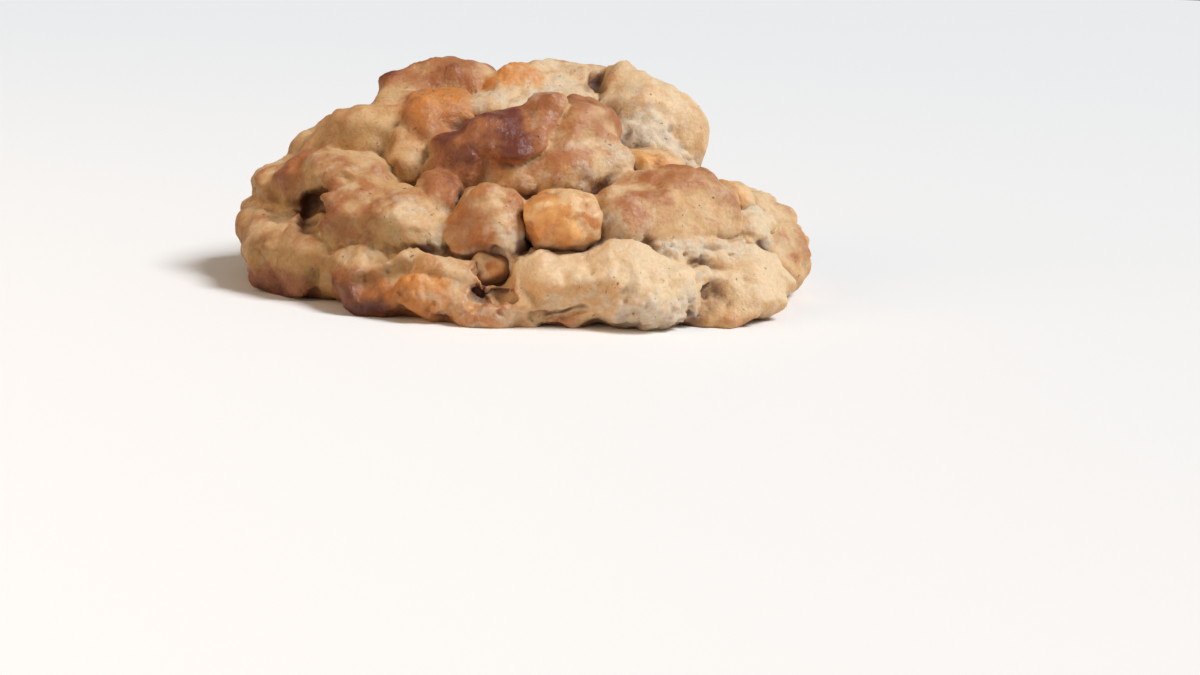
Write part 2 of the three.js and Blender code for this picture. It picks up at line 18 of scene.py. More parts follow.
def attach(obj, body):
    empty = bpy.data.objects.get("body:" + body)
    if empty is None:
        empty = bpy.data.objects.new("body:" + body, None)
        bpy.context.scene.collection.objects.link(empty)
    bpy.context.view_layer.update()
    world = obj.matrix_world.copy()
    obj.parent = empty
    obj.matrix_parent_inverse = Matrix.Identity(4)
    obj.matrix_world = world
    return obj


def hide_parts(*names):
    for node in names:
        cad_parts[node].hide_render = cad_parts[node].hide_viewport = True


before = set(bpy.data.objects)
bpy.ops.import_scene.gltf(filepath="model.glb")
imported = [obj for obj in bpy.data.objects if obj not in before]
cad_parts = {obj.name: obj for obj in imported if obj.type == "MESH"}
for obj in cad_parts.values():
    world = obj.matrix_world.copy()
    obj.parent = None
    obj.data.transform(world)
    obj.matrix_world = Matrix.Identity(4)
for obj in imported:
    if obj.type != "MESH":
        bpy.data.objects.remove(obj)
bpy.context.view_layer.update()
print("nodes:", sorted(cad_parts))

# %% [markdown]
# The camera
#
# The photograph was taken from a little above the table, close to the cookie, and the
# cookie leans a little to the right in it. A lens, a distance, a height angle and a small
# roll describe that view. The aim is the point that lands in the middle of the frame.

# %% Place the camera
LENS_MM = 57.0
SENSOR_MM = 36.0
CAMERA_DISTANCE = 0.312
CAMERA_ELEVATION = math.radians(10.0)
CAMERA_ROLL = math.radians(2.5)
CAMERA_AIM = Vector((0.01273, 0.0, -0.00969))


def place_camera():
    """A camera at a distance and height angle in front of the origin, looking at the aim.
    The roll turns it anticlockwise about its own line of sight."""
    place = Vector((0, -CAMERA_DISTANCE * math.cos(CAMERA_ELEVATION),
                    CAMERA_DISTANCE * math.sin(CAMERA_ELEVATION)))
    ahead = (CAMERA_AIM - place).normalized()
    right = ahead.cross(Vector((0, 0, 1))).normalized()
    up = right.cross(ahead)
    rolled_right = right * math.cos(CAMERA_ROLL) + up * math.sin(CAMERA_ROLL)
    rolled_up = up * math.cos(CAMERA_ROLL) - right * math.sin(CAMERA_ROLL)
    data = bpy.data.cameras.new("camera")
    data.lens = LENS_MM
    data.sensor_width = SENSOR_MM
    data.clip_start = 0.01
    camera = bpy.data.objects.new("camera", data)
    axes = Matrix((rolled_right, rolled_up, -ahead)).transposed().to_4x4()
    camera.matrix_world = Matrix.Translation(place) @ axes
    bpy.context.collection.objects.link(camera)
    bpy.context.scene.camera = camera
    return camera


camera = place_camera()
print("camera at", tuple(round(v, 4) for v in camera.matrix_world.translation))

# %% [markdown]
# Smooth noise
#
# Dough is never regular, so most steps below ask for a smooth random number at a point in
# space. Gradient noise gives one: every corner of a cubic lattice gets a slope of its own
# from a hash of its whole-number place, and the eight slopes around a point are blended.
# The hash uses only whole numbers, so the same cookie comes out on every machine.

# %% Hash and gradient noise
SLOPES = np.array([
    (1, 1, 0), (-1, 1, 0), (1, -1, 0), (-1, -1, 0), (1, 0, 1), (-1, 0, 1), (1, 0, -1), (-1, 0, -1),
    (0, 1, 1), (0, -1, 1), (0, 1, -1), (0, -1, -1), (1, 1, 0), (-1, 1, 0), (0, -1, 1), (0, -1, -1),
], float)


def whole_hash(i, j, k, seed):
    """A well-mixed 32-bit whole number for each lattice corner and seed."""
    with np.errstate(over="ignore"):
        h = (i.astype(np.uint32) * np.uint32(374761393) + j.astype(np.uint32) * np.uint32(668265263)
             + k.astype(np.uint32) * np.uint32(2147483629)
             + np.uint32(seed * 1013904223 & 0xFFFFFFFF))
        h = (h ^ (h >> np.uint32(13))) * np.uint32(1274126177)
        h = (h ^ (h >> np.uint32(15))) * np.uint32(2246822519)
    return h ^ (h >> np.uint32(16))


def noise(points, size, seed):
    """Gradient noise with lattice steps of the given size, about -0.7 to 0.7."""
    scaled = points / size
    corner = np.floor(scaled)
    inside = scaled - corner
    corner = corner.astype(np.int64)
    eased = inside * inside * inside * (inside * (inside * 6 - 15) + 10)
    total = np.zeros(len(points))
    for dx, dy, dz in np.ndindex(2, 2, 2):
        weight = ((eased[:, 0] if dx else 1 - eased[:, 0])
                  * (eased[:, 1] if dy else 1 - eased[:, 1])
                  * (eased[:, 2] if dz else 1 - eased[:, 2]))
        pick = whole_hash(corner[:, 0] + dx, corner[:, 1] + dy, corner[:, 2] + dz, seed)
        slope = SLOPES[pick & np.uint32(15)]
        total += weight * (slope * (inside - (dx, dy, dz))).sum(1)
    return total


class Draw:
    """Seeded random draws between two limits, one hash for each draw."""

    def __init__(self, seed):
        self.seed = seed
        self.count = 0

    def __call__(self, low, high):
        self.count += 1
        one = np.array([self.count])
        none = np.array([0])
        return low + (high - low) * int(whole_hash(one, none, none, self.seed)[0]) / 2 ** 32


print("noise at three points:", noise(np.array([[1.0, 2, 3], [4, 5, 6], [7, 8, 9]]), 2.5, 1).round(3))

# %% [markdown]
# Masses and lumps
#
# A craggy cookie is a heap of pieces of dough that have half run into each other. Each
# piece, called a mass here, is made of one to six lumps. A lump is an ellipsoid with a
# place, three half-sizes, a turn and a lean, in millimetres and degrees. The last three
# numbers say how it is baked: browned, stained orange by melted peanut butter, or broken
# open and pale. Lumps of one mass run together softly, and between masses there is a seam.

# %% The masses that show from the front
# mass: {lump: (x, y, z, half x, half y, half z, turn, lean, browned, orange, pale)}
MASSES = {
    # the rim, from left to right
    "left_rim": {
        "back":   (-41.2, 1.5, 8.2, 4.8, 7.5, 4.8, 10, 0, 0.3, 0.05, 0),
        "middle": (-38.4, -9.0, 7.6, 7.2, 9.6, 5.8, 22, -6, 0.3, 0.05, 0),
        "front":  (-32.0, -20.0, 6.2, 7.6, 6.8, 4.9, 42, -8, 0.4, 0.05, 0),
        "yellow": (-30.4, -24.2, 6.8, 3.2, 4.5, 3.6, 30, -10, 0.15, 0.2, 0),
        "button": (-39.8, -18.5, 8.0, 2.0, 2.6, 2.0, 0, 0, 0.1, 0.05, 0.2),
        "low":    (-34.6, -18.6, 2.0, 5.6, 9.5, 3.4, 30, -6, 0.9, 0, 0),
    },
    "front_left": {
        "pale": (-23.0, -29.4, 5.4, 5.4, 6.2, 3.2, 30, -10, 0.15, 0.05, 0.3),
        "tan":  (-12.0, -33.6, 5.4, 8.4, 6.5, 3.2, 15, -14, 0.12, 0.15, 0.3),
        "low":  (-21.0, -32.2, 2.0, 7.2, 6.0, 2.8, 28, -8, 1.05, 0.05, 0),
    },
    "crumbly": {
        "left":  (-13.0, -37.0, 2.6, 6.4, 5.0, 2.8, 14, -16, 0.5, 1.0, 0.2),
        "right": (-6.0, -39.0, 2.0, 5.0, 5.0, 3.0, 5, -6, 0.45, 0.45, 0.4),
    },
    "front_roll": {
        "left":   (3.6, -36.3, 6.8, 5.8, 6.8, 3.6, 8, 0, 0, 0, 0.15),
        "middle": (10.8, -36.8, 6.2, 6.8, 6.8, 3.9, 2, 2, 0, 0, 0.2),
        "right":  (17.6, -35.6, 6.8, 6.8, 7.2, 4.2, -8, -4, 0, 0, 0.15),
        "floury": (16.5, -37.4, 3.2, 7.4, 5.8, 3.6, -5, 0, 0, 0, 0.85),
        "end":    (25.0, -32.2, 4.2, 3.4, 5.0, 4.4, -30, 0, 0, 0.05, 0.4),
    },
    "under_roll": {
        "left":   (1.2, -32.8, 1.2, 5.0, 6.0, 2.8, 8, 0, 0.65, 0, 0.1),
        "crumbs": (7.6, -35.2, 1.7, 4.4, 5.0, 2.2, 0, 0, 0.35, 0, 0.4),
    },
    "front_right": {
        "left":  (30.0, -28.0, 4.6, 8.5, 6.6, 4.6, -38, 2, 0, 0, 0.2),
        "right": (33.8, -22.8, 5.0, 5.6, 5.6, 4.4, -45, 2, 0, 0, 0.2),
        "low":   (26.0, -31.0, 1.8, 8.0, 5.8, 3.4, -30, 0, 0.4, 0, 0),
    },
    "right_end": {
        "front": (40.4, -10.0, 6.4, 4.8, 8.5, 5.7, -18, 6, 0.4, 0.05, 0.05),
        "back":  (38.6, 6.5, 5.6, 4.8, 7.0, 4.6, 10, 0, 0.45, 0.05, 0),
    },
    # the second step
    "left_block": {
        "ridge": (-33.5, -8.5, 15.6, 7.0, 6.5, 4.0, 15, 4, 0.8, 0.15, 0),
        "top":   (-26.0, -14.0, 16.6, 8.0, 8.0, 4.4, 10, -10, 0.35, 0, 0.2),
        "front": (-23.5, -23.5, 11.2, 8.0, 8.0, 5.6, 15, -12, 0.45, 0.1, 0.15),
        "right": (-16.3, -27.0, 12.0, 6.0, 7.0, 4.8, 5, -22, 0.25, 0.05, 0.3),
        "facet": (-13.2, -29.0, 9.8, 4.2, 4.2, 2.8, 0, -20, 0.1, 0, 0.7),
    },
    "small_red": {
        "whole": (-13.3, -25.2, 15.2, 3.8, 4.8, 4.2, 0, -24, 0.8, 0.1, 0.05),
    },
    "mid_lump": {
        "top":  (-5.4, -30.5, 14.2, 5.6, 6.0, 5.0, 0, 0, 0.5, 0.2, 0.1),
        "beak": (-3.6, -32.2, 10.4, 3.2, 4.6, 3.0, 0, -10, 0.2, 0, 0.65),
        "dark": (-7.0, -33.2, 12.6, 2.0, 2.6, 3.0, 0, -24, 1.2, 0.3, 0),
    },
    "beside_chip": {
        "whole": (13.4, -30.0, 12.0, 4.6, 4.8, 4.0, 0, -22, 0.05, 0, 0.7),
        "bed":   (5.2, -28.6, 13.0, 6.4, 5.0, 5.0, 0, 0, 0.2, 0.2, 0.4),
    },
    "right_fold": {
        "whole": (15.4, -26.6, 14.0, 6.0, 7.6, 5.8, -8, -8, 0.65, 0.05, 0),
    },
    "right_block": {
        "left":  (19.6, -24.6, 14.2, 5.0, 8.0, 5.6, -16, 0, 0.6, 0, 0.05),
        "right": (25.4, -22.0, 13.4, 7.0, 8.0, 6.2, -28, -8, 0.55, 0, 0.1),
        "top":   (20.8, -20.0, 16.2, 7.4, 7.5, 4.2, -10, -4, 0.5, 0.1, 0.05),
    },
    "block_foot": {
        "middle": (18.2, -28.8, 10.6, 6.6, 5.0, 3.4, -14, 0, 0.2, 0, 0.7),
        "whole":  (26.8, -25.6, 9.2, 5.8, 4.8, 3.0, -34, 6, 0.15, 0, 0.8),
    },
    "right_shoulder": {
        "front":  (36.6, -4.0, 11.2, 6.2, 8.0, 4.8, 0, -26, 0.3, 0.15, 0.05),
        "back":   (33.0, 4.5, 12.0, 6.6, 8.0, 4.6, 0, -26, 0.3, 0.2, 0),
        "column": (34.4, -17.0, 11.0, 3.6, 6.0, 4.8, -10, -34, 0.05, 0, 0.45),
    },
    # the browned crown
    "crown_left": {
        "low": (-10.4, -16.9, 20.4, 5.2, 7.0, 5.2, 10, -14, 0.97, 0, 0.05),
    },
    "crown_dark": {
        "left":  (-6.4, -17.0, 23.8, 4.6, 6.4, 3.8, 8, 4, 1.25, 0, 0),
        "right": (-3.0, -17.2, 22.6, 3.4, 6.0, 3.8, 0, 10, 1.6, 0, 0),
        "ridge": (0.2, -16.8, 24.8, 5.8, 4.8, 1.8, 0, 50, 0.7, 0, 0.2),
        "nub":   (3.2, -14.8, 29.4, 1.8, 2.4, 2.2, 0, 0, 0.6, 0, 0.25),
    },
    "crown_slope": {
        "brow":   (8.0, -12.8, 26.0, 5.2, 7.5, 5.2, 0, -6, 0.7, 0, 0),
        "face":   (6.6, -16.8, 21.6, 6.0, 6.0, 4.4, 0, 0, 0.4, 0, 0.2),
        "foot":   (-0.6, -18.6, 18.0, 6.8, 6.0, 3.0, 0, 4, 0.7, 0.05, 0.3),
        "right":  (5.0, -18.4, 19.0, 6.0, 6.0, 3.4, 0, 8, 0.6, 0.05, 0.3),
        "behind": (3.5, -9.0, 23.4, 7.5, 4.2, 4.6, 0, 0, 0.3, 0, 0.1),
    },
    "ledge_right": {
        "whole": (11.1, -17.4, 19.8, 4.4, 6.0, 4.4, 0, 0, 0.35, 0.05, 0.35),
    },
    # the top step
    "left_edge": {
        "whole": (-39.0, -3.2, 15.6, 5.0, 7.4, 3.0, 0, 26, 0.15, 0, 0.4),
    },
    "left_shoulder": {
        "front": (-24.8, -3.0, 21.6, 7.6, 8.8, 5.2, 0, 4, 0.13, 0, 0),
        "left":  (-33.0, 1.5, 19.0, 6.0, 8.0, 4.6, 0, 14, 0.18, 0, 0),
        "high":  (-19.6, 1.5, 25.4, 5.4, 7.0, 4.8, 0, 6, 0.13, 0, 0),
    },
    "left_inner": {
        "front":  (-18.2, -13.0, 18.6, 3.8, 5.5, 4.6, 0, -14, 0.3, 0.05, 0.1),
        "crumbs": (-18.6, -8.5, 20.6, 3.6, 4.4, 4.0, 0, -10, 0.1, 0, 0.4),
    },
    "left_of_crown": {
        "top":   (-14.0, -5.0, 26.0, 6.0, 6.5, 4.8, 0, -8, 0.7, 0.7, 0),
        "dark":  (-18.0, -6.0, 24.6, 2.6, 5.0, 3.8, 0, 0, 1.1, 0.6, 0),
        "strip": (-16.0, -10.0, 20.8, 3.4, 5.2, 5.4, 0, -14, 0.8, 0.5, 0),
    },
    "top_left": {
        "end":    (-19.2, 7.5, 29.4, 5.6, 7.6, 3.8, 0, 2, 0.85, 0, 0),
        "right":  (-11.8, 8.5, 30.4, 6.8, 7.4, 4.0, 0, 2, 0.7, 0.05, 0.05),
        "behind": (-16.5, 11.5, 24.4, 8.0, 7.0, 5.6, 0, 0, 0.5, 0, 0),
    },
    "top_middle": {
        "orange":     (-2.6, 5.0, 30.6, 4.8, 5.6, 3.8, 0, 0, 0.2, 0.75, 0.1),
        "pale_left":  (-5.0, -2.4, 27.2, 7.0, 7.0, 3.8, 0, 0, 0, 0.15, 0.5),
        "pale_right": (6.0, 1.6, 28.0, 6.0, 6.0, 3.8, 0, 0, 0.1, 0.05, 0.45),
        "left":       (3.6, 10.5, 30.9, 5.6, 7.2, 3.9, 0, 0, 0.1, 0.1, 0.3),
        "right":      (9.6, 10.5, 29.8, 5.2, 7.0, 4.2, 0, -4, 0.2, 0.1, 0.2),
    },
    "top_right": {
        "edge":   (15.6, 6.4, 28.6, 6.0, 8.0, 5.2, 0, -26, 0.1, 0.1, 0.05),
        "middle": (20.6, 2.5, 25.6, 5.6, 8.0, 6.4, 0, -26, 0, 0.3, 0.1),
        "end":    (23.8, -0.2, 22.6, 4.6, 8.0, 6.2, 0, -14, 0.25, 0.05, 0.05),
        "face":   (15.6, 0.6, 27.0, 5.0, 6.2, 4.4, 0, -20, 0, 0.15, 0.35),
    },
    "flaky": {
        "upper": (17.6, -5.2, 24.4, 6.0, 6.0, 2.8, 0, 2, 0, 0, 0.85),
        "lower": (19.8, -6.5, 21.8, 6.4, 6.0, 2.8, 0, -6, 0, 0, 0.75),
    },
    "slab_bed": {
        "whole": (21.5, -12.0, 18.6, 7.5, 6.5, 3.0, 0, -6, 0.1, 0.25, 0.5),
    },
}
print(len(MASSES), "masses of", sum(map(len, MASSES.values())), "lumps")

# %% [markdown]
# Cracks, hollows and chips
#
# Where dough tore open or left a gap, an ellipsoid is cut away. The chips have rows of the
# same kind. Four chips show from the front, one of them deep in a crack, and three more sit
# in the hidden side at about the same spacing.

# %% Hollows and chips
# each: (x, y, z, half x, half y, half z, turn, lean)
HOLLOWS = {
    "crack_left":   (-7.0, -42.0, 4.0, 1.7, 4.6, 0.95, 0, -24),
    "crack_right":  (-4.2, -40.7, 4.5, 1.8, 4.6, 0.95, 0, 16),
    "hollow_left":  (-32.2, -21.2, 12.4, 2.1, 8.0, 3.6, 10, -30),
    "recess_roll":  (4.2, -44.4, 2.0, 7.0, 4.2, 1.7, 0, 2),
    "chip_nook":    (-4.9, -38.8, 7.4, 3.2, 5.0, 2.8, 0, 0),
    "recess_top":   (11.0, 5.6, 32.4, 1.5, 3.8, 2.0, 0, 14),
    "hole_low":     (22.8, -37.1, 2.7, 0.9, 2.5, 1.2, 0, 0),
    "hole_high":    (25.7, -35.2, 5.4, 0.8, 2.5, 1.4, 0, 10),
    "hole_right":   (35.8, -26.4, 5.0, 0.8, 2.5, 1.2, 0, 0),
}
CHIPS = {
    "chip_front":     (5.0, -33.6, 14.4, 5.7, 5.7, 4.8, 0, 0),
    "chip_crack":     (-5.2, -33.4, 6.8, 3.4, 3.2, 3.2, 0, 0),
    "chip_slab":      (18.6, -13.8, 20.8, 5.8, 5.0, 2.5, 0, 0),
    "chip_shoulder":  (32.6, -8.4, 15.2, 4.0, 4.0, 2.8, 0, -30),
    "chip_back":      (-1.8, 20.9, 24.3, 4.7, 4.2, 3.5, 0, 0),
    "chip_back_side": (16.1, 26.4, 17.0, 4.5, 4.6, 3.5, -20, 8),
    "chip_back_left": (-21.7, 14.6, 19.2, 4.4, 4.7, 3.5, 10, 0),
}
print(len(HOLLOWS), "hollows and", len(CHIPS), "chips")

# %% [markdown]
# The hidden side
#
# The photograph shows only the front. The back is finished by a rule with seeded draws:
# lumps side by side along the rim, and above them lumps of falling size thrown on the slope
# wherever there is room. The first ones are masses of their own, and each later one joins
# the mass of its nearest neighbour. Their colours come from draws of their own.

# %% The masses of the back
BACK_SEED = 5
BACK_TONE_SEED = 9
BACK_TONES = ((0.15, 0.85), (-0.3, 0.45), (-0.3, 0.5))   # limits of browned, orange and pale
BACK_RIM = SimpleNamespace(
    start=8.0, end=176, overlap=1.55, half=(7.5, 12.5), radius=(36.0, 38.2),
    height=(5.4, 7.2), depth=(5.6, 7.2), thickness=(4.2, 5.4), turn=(-9, 9), lean=(-6, 6))
BACK_SLOPE = SimpleNamespace(
    sizes=[11.0] * 4 + [8.4] * 8 + [6.4] * 10 + [4.6] * 12, vary=(0.88, 1.12),
    x=(-34, 34), y=(6, 36), rim=35, behind=7, widening=0.22, apart=0.6, tries=40, lone_lumps=9,
    radius=38, base=6.4, height=20.5, power=2.2, sink=0.1,
    half_y=(0.62, 0.95), half_z=(0.5, 0.68), turn=(0, 180), lean=(-16, 16))


def rim_masses(draw, baked):
    """Single lumps side by side at growing angles, each step as long as its lump is wide."""
    rim = BACK_RIM
    masses = []
    angle = rim.start
    while angle < rim.end:
        half = draw(*rim.half)
        step = math.degrees(half * rim.overlap / BACK_SLOPE.radius)
        middle = math.radians(angle + step / 2)
        radius, height = draw(*rim.radius), draw(*rim.height)
        depth, thickness = draw(*rim.depth), draw(*rim.thickness)
        turn, lean = math.degrees(middle) - 90 + draw(*rim.turn), draw(*rim.lean)
        masses.append([(radius * math.cos(middle), radius * math.sin(middle), height,
                        half, depth, thickness, turn, lean, *baked())])
        angle += step
    return masses


def free_place(draw, size, placed):
    """A draw on the hidden slope that keeps apart from every lump so far, and its distances
    to them, or nothing after too many tries."""
    slope = BACK_SLOPE
    for _ in range(slope.tries):
        x, y = draw(*slope.x), draw(*slope.y)
        gaps = [math.hypot(x - other.x, y - other.y) for other in placed]
        if (math.hypot(x, y) < slope.rim and y > slope.behind + abs(x) * slope.widening
                and all(gap > slope.apart * (size + other.size)
                        for gap, other in zip(gaps, placed))):
            return x, y, gaps
    return None


def back_masses():
    """The rim's lumps, then lumps of falling size on the slope, whose height falls from the
    middle with a power of the distance."""
    draw = Draw(BACK_SEED)
    tone = Draw(BACK_TONE_SEED)

    def baked():
        return tuple(max(tone(*limits), 0) for limits in BACK_TONES)

    masses = rim_masses(draw, baked)
    slope = BACK_SLOPE
    placed = []
    for nominal in slope.sizes:
        size = nominal * draw(*slope.vary)
        found = free_place(draw, size, placed)
        if not found:
            continue
        x, y, gaps = found
        outwards = math.hypot(x, y) / slope.radius
        z = slope.base + slope.height * (1 - outwards ** slope.power) - size * slope.sink
        half_y, half_z = size * draw(*slope.half_y), size * draw(*slope.half_z)
        lump = (x, y, z, size, half_y, half_z, draw(*slope.turn), draw(*slope.lean), *baked())
        mass = placed[gaps.index(min(gaps))].mass if len(placed) >= slope.lone_lumps else []
        if not mass:
            masses.append(mass)
        mass.append(lump)
        placed.append(SimpleNamespace(x=x, y=y, size=size, mass=mass))
    return masses


BACK_MASSES = back_masses()
print(len(BACK_MASSES), "masses of", sum(map(len, BACK_MASSES)), "lumps on the hidden side")

# %% [markdown]
# A surface from a distance
#
# The dough's skin is where one function is zero. For a single ellipsoid there is a short
# formula that is close to the distance from its surface. Several are joined by adding up
# exp(-distance / softness) and taking the logarithm back: far from each other they stay
# lumps, and where two meet the valley between them is filled. Lumps of one mass are joined
# with a large softness, and then the masses with a small one. Lumps above the rim are deeper
# below their middle, because soft dough sags onto the step under it.

# %% Distances to turned ellipsoids
OUTLINE_RADIUS = 41.6
RIM_ROUNDING = 4.0
WAVES = ((0.9, 1, 1.1), (0.5, 2, 2.5), (0.5, 3, 1.0), (0.4, 5, 0.0))   # amount, times, start
FLAT_AT, FLAT_WIDTH, FLAT_DEPTH = math.radians(205), 0.32, 2.2
DOME = (0, 3, 4, 36, 33, 20.5, 0, 0)
WITHIN_MASS = 1.4
BETWEEN_MASSES = 0.55
SAG, SAG_FROM, SAG_TO = 1.4, 9.0, 22.0


def own_axes(turn, lean):
    """Columns are a lump's own directions: a turn about z after a lean about y."""
    a, b = math.radians(turn), math.radians(lean)
    turned = np.array([[math.cos(a), -math.sin(a), 0], [math.sin(a), math.cos(a), 0], [0, 0, 1]])
    leant = np.array([[math.cos(b), 0, -math.sin(b)], [0, 1, 0], [math.sin(b), 0, math.cos(b)]])
    return turned @ leant


def as_lump(row, sag=1.0):
    """The centre, half-sizes and own directions of one row, and how much deeper it is
    below its middle than above."""
    return np.array(row[:3], float), np.array(row[3:6], float), own_axes(row[6], row[7]), sag


def ellipsoid_distance(points, lump):
    """k0 * (k0 - 1) / k1, where k0 is the length of the point in the lump's own half-sizes
    and k1 that of its slope. The second result is the outward direction."""
    centre, half, axes, sag = lump
    local = (points - centre) @ axes
    half = np.where(local[:, 2:] < 0, half * (1, 1, sag), half)
    local = local / half
    slope = local / half
    k0 = np.sqrt((local * local).sum(1)) + 1e-9
    k1 = np.sqrt((slope * slope).sum(1)) + 1e-9
    return k0 * (k0 - 1) / k1, (slope / k1[:, None]) @ axes.T


def outline_radius(angle):
    """The puddle's outline: low waves round a circle, and a flat place at the front left."""
    away = np.mod(angle - FLAT_AT + math.pi, 2 * math.pi) - math.pi
    radius = OUTLINE_RADIUS
    for amount, times, start in WAVES:
        radius = radius + amount * np.cos(times * angle + start)
    return radius - FLAT_DEPTH * np.exp(-(away / FLAT_WIDTH) ** 2)


def puddle_distance(points):
    """Distance to a flat round slab with a fully rounded edge, and its outward direction."""
    across = np.hypot(points[:, 0], points[:, 1]) + 1e-9
    inner = outline_radius(np.arctan2(points[:, 1], points[:, 0])) - RIM_ROUNDING
    beyond = np.maximum(across - inner, 0)
    lift = points[:, 2] - RIM_ROUNDING
    reach = np.hypot(beyond, lift) + 1e-9
    outward = np.column_stack([points[:, :2] * (beyond / across / reach)[:, None], lift / reach])
    return reach - RIM_ROUNDING, outward


ALL_ROWS = [list(mass.values()) for mass in MASSES.values()] + BACK_MASSES
ALL_MASSES = [[as_lump(row, SAG if SAG_FROM < row[2] < SAG_TO else 1.0) for row in rows]
              for rows in ALL_ROWS]
HOLLOW_LUMPS = [as_lump(row) for row in HOLLOWS.values()]
DOME_LUMP = as_lump(DOME)
print("outline radius, front and right:", outline_radius(np.radians([-90.0, 0.0])).round(2))

# %% [markdown]
# Bending and joining
#
# Plain ellipsoids look like pebbles. Before a point is measured it is pushed about by two
# sizes of noise, so that every outline wanders. A third noise, folded at zero, presses
# soft dents with sharp creases into the lumps. Where two masses meet face to face, a seam is
# pressed in, open in some patches and closed in others. Lumps far from a point can't change
# its value, so each one is only worked out for the points near it.

# %% The dough's field
LARGE_BEND = (9.0, 1.8)
SMALL_BEND = (4.2, 1.0)
RELIEF = (5.5, 0.55)
FINE_RELIEF = (2.4, 0.35)
RELIEF_LEVEL = 0.15
SEAM_DEPTH, SEAM_WIDTH, SEAM_PATCHES = 0.45, 0.5, 8.0
SEAM_APART, SEAM_OPEN = (0.15, 0.9), (-0.3, 0.25)
HOLLOW_EDGE = (1.7, 0.6)
FIELD_MARGIN, NOT_NEAR = 4.0, 50.0


def ramp(value, low, high):
    """0 below low, 1 above high, eased between."""
    share = np.clip((value - low) / (high - low), 0, 1)
    return share * share * (3 - 2 * share)


def bend(points):
    """Push the points by noise of a large size, then of a small one."""
    size, amount = LARGE_BEND
    points = points + amount * np.column_stack([noise(points, size, s) for s in (1, 2, 3)])
    size, amount = SMALL_BEND
    return points + amount * np.column_stack([noise(points, size, s) for s in (4, 5, 6)])


def masses_near(bent, margin):
    """For every mass, the rows of the points that lie within the largest half of one of its
    lumps plus a margin."""
    near = []
    for mass in ALL_MASSES:
        close = np.zeros(len(bent), bool)
        for centre, half, *_ in mass:
            close |= ((bent - centre) ** 2).sum(1) < (half.max() + margin) ** 2
        near.append(np.flatnonzero(close))
    return near


def mass_distance(bent, mass):
    """Minus softness times the logarithm of the sum of exp(-distance / softness), and the
    mean outward direction with the same weights."""
    distances, directions = zip(*[ellipsoid_distance(bent, lump) for lump in mass])
    if len(mass) == 1:
        return distances[0], directions[0]
    lowest = np.min(distances, axis=0)
    weights = np.exp(-(np.array(distances) - lowest) / WITHIN_MASS)
    total = weights.sum(0)
    outward = (weights[:, :, None] * np.array(directions)).sum(0) / total[:, None]
    return lowest - WITHIN_MASS * np.log(total), outward


def joined(bent, near):
    """The masses joined in the same way. The third result is the seam between the two
    nearest: 1 where both are equally near and face apart, falling to 0 beside it."""
    total = np.zeros(len(bent))
    outward = np.zeros((len(bent), 3))
    nearest = np.full((2, len(bent)), NOT_NEAR)
    facing = np.zeros((2, len(bent), 3))
    everywhere = np.arange(len(bent))
    plain = [(puddle_distance(bent), everywhere), (ellipsoid_distance(bent, DOME_LUMP), everywhere)]
    masses = ((mass_distance(bent[rows], mass), rows) for mass, rows in zip(ALL_MASSES, near))
    for (distance, direction), rows in itertools.chain(plain, masses):
        weight = np.exp(-distance / BETWEEN_MASSES)
        total[rows] += weight
        outward[rows] += weight[:, None] * direction
        first = distance < nearest[0, rows]
        ahead, behind = rows[first], rows[~first]
        nearest[1, ahead], facing[1, ahead] = nearest[0, ahead], facing[0, ahead]
        nearest[0, ahead], facing[0, ahead] = distance[first], direction[first]
        second = distance[~first] < nearest[1, behind]
        nearest[1, behind[second]] = distance[~first][second]
        facing[1, behind[second]] = direction[~first][second]
    apart = ramp(1 - (facing[0] * facing[1]).sum(1), *SEAM_APART)
    seam = apart * np.exp(-((nearest[1] - nearest[0]) / SEAM_WIDTH) ** 2)
    return -BETWEEN_MASSES * np.log(total), outward / total[:, None], seam


def relief(points):
    """The height of the dents: a folded noise and a finer plain one."""
    return (RELIEF[1] * np.abs(noise(points, RELIEF[0], 11))
            + FINE_RELIEF[1] * noise(points, FINE_RELIEF[0], 12) - RELIEF_LEVEL)


def dough_field(points, near=None):
    """Below zero inside the dough and above it outside, with the outward direction."""
    bent = bend(points)
    if near is None:
        near = masses_near(bent, FIELD_MARGIN)
    value, outward, seam = joined(bent, near)
    open_seam = ramp(noise(points, SEAM_PATCHES, 13), *SEAM_OPEN)
    value = value - relief(points) + SEAM_DEPTH * open_seam * seam
    ragged = HOLLOW_EDGE[1] * noise(points, HOLLOW_EDGE[0], 14)
    for lump in HOLLOW_LUMPS:
        depth, direction = ellipsoid_distance(bent, lump)
        depth = depth + ragged
        cut = -depth > value
        value = np.where(cut, -depth, value)
        outward = np.where(cut[:, None], -direction, outward)
    return value, outward


top_point = np.array([[0.0, 0.0, 60.0]])
print("field well above the cookie:", dough_field(top_point)[0].round(1))

# %% [markdown]
# Finding the skin
#
# A grid of lines looks inward from a rounded shell: straight down in the middle, slanting
# over the steps, level at the rim and along the floor on the last ring. Each line walks
# until it meets the dough. To make that quick the field is first worked out on blocks
# of space and read between them, and the exact field takes over for the last part.

# %% The field on blocks of space
BLOCK = 0.9
BLOCK_LOW = np.array([-52.0, -50.0, -3.0])
BLOCK_COUNT = np.array([116, 113, 48])
FAR = 3.0


def block_field():
    """The dough's field at the corners of a regular lattice, capped well outside."""
    axes = [BLOCK_LOW[i] + BLOCK * np.arange(BLOCK_COUNT[i]) for i in range(3)]
    corners = np.stack(np.meshgrid(*axes, indexing="ij"), -1).reshape(-1, 3)
    return np.minimum(dough_field(corners)[0], FAR).reshape(BLOCK_COUNT)


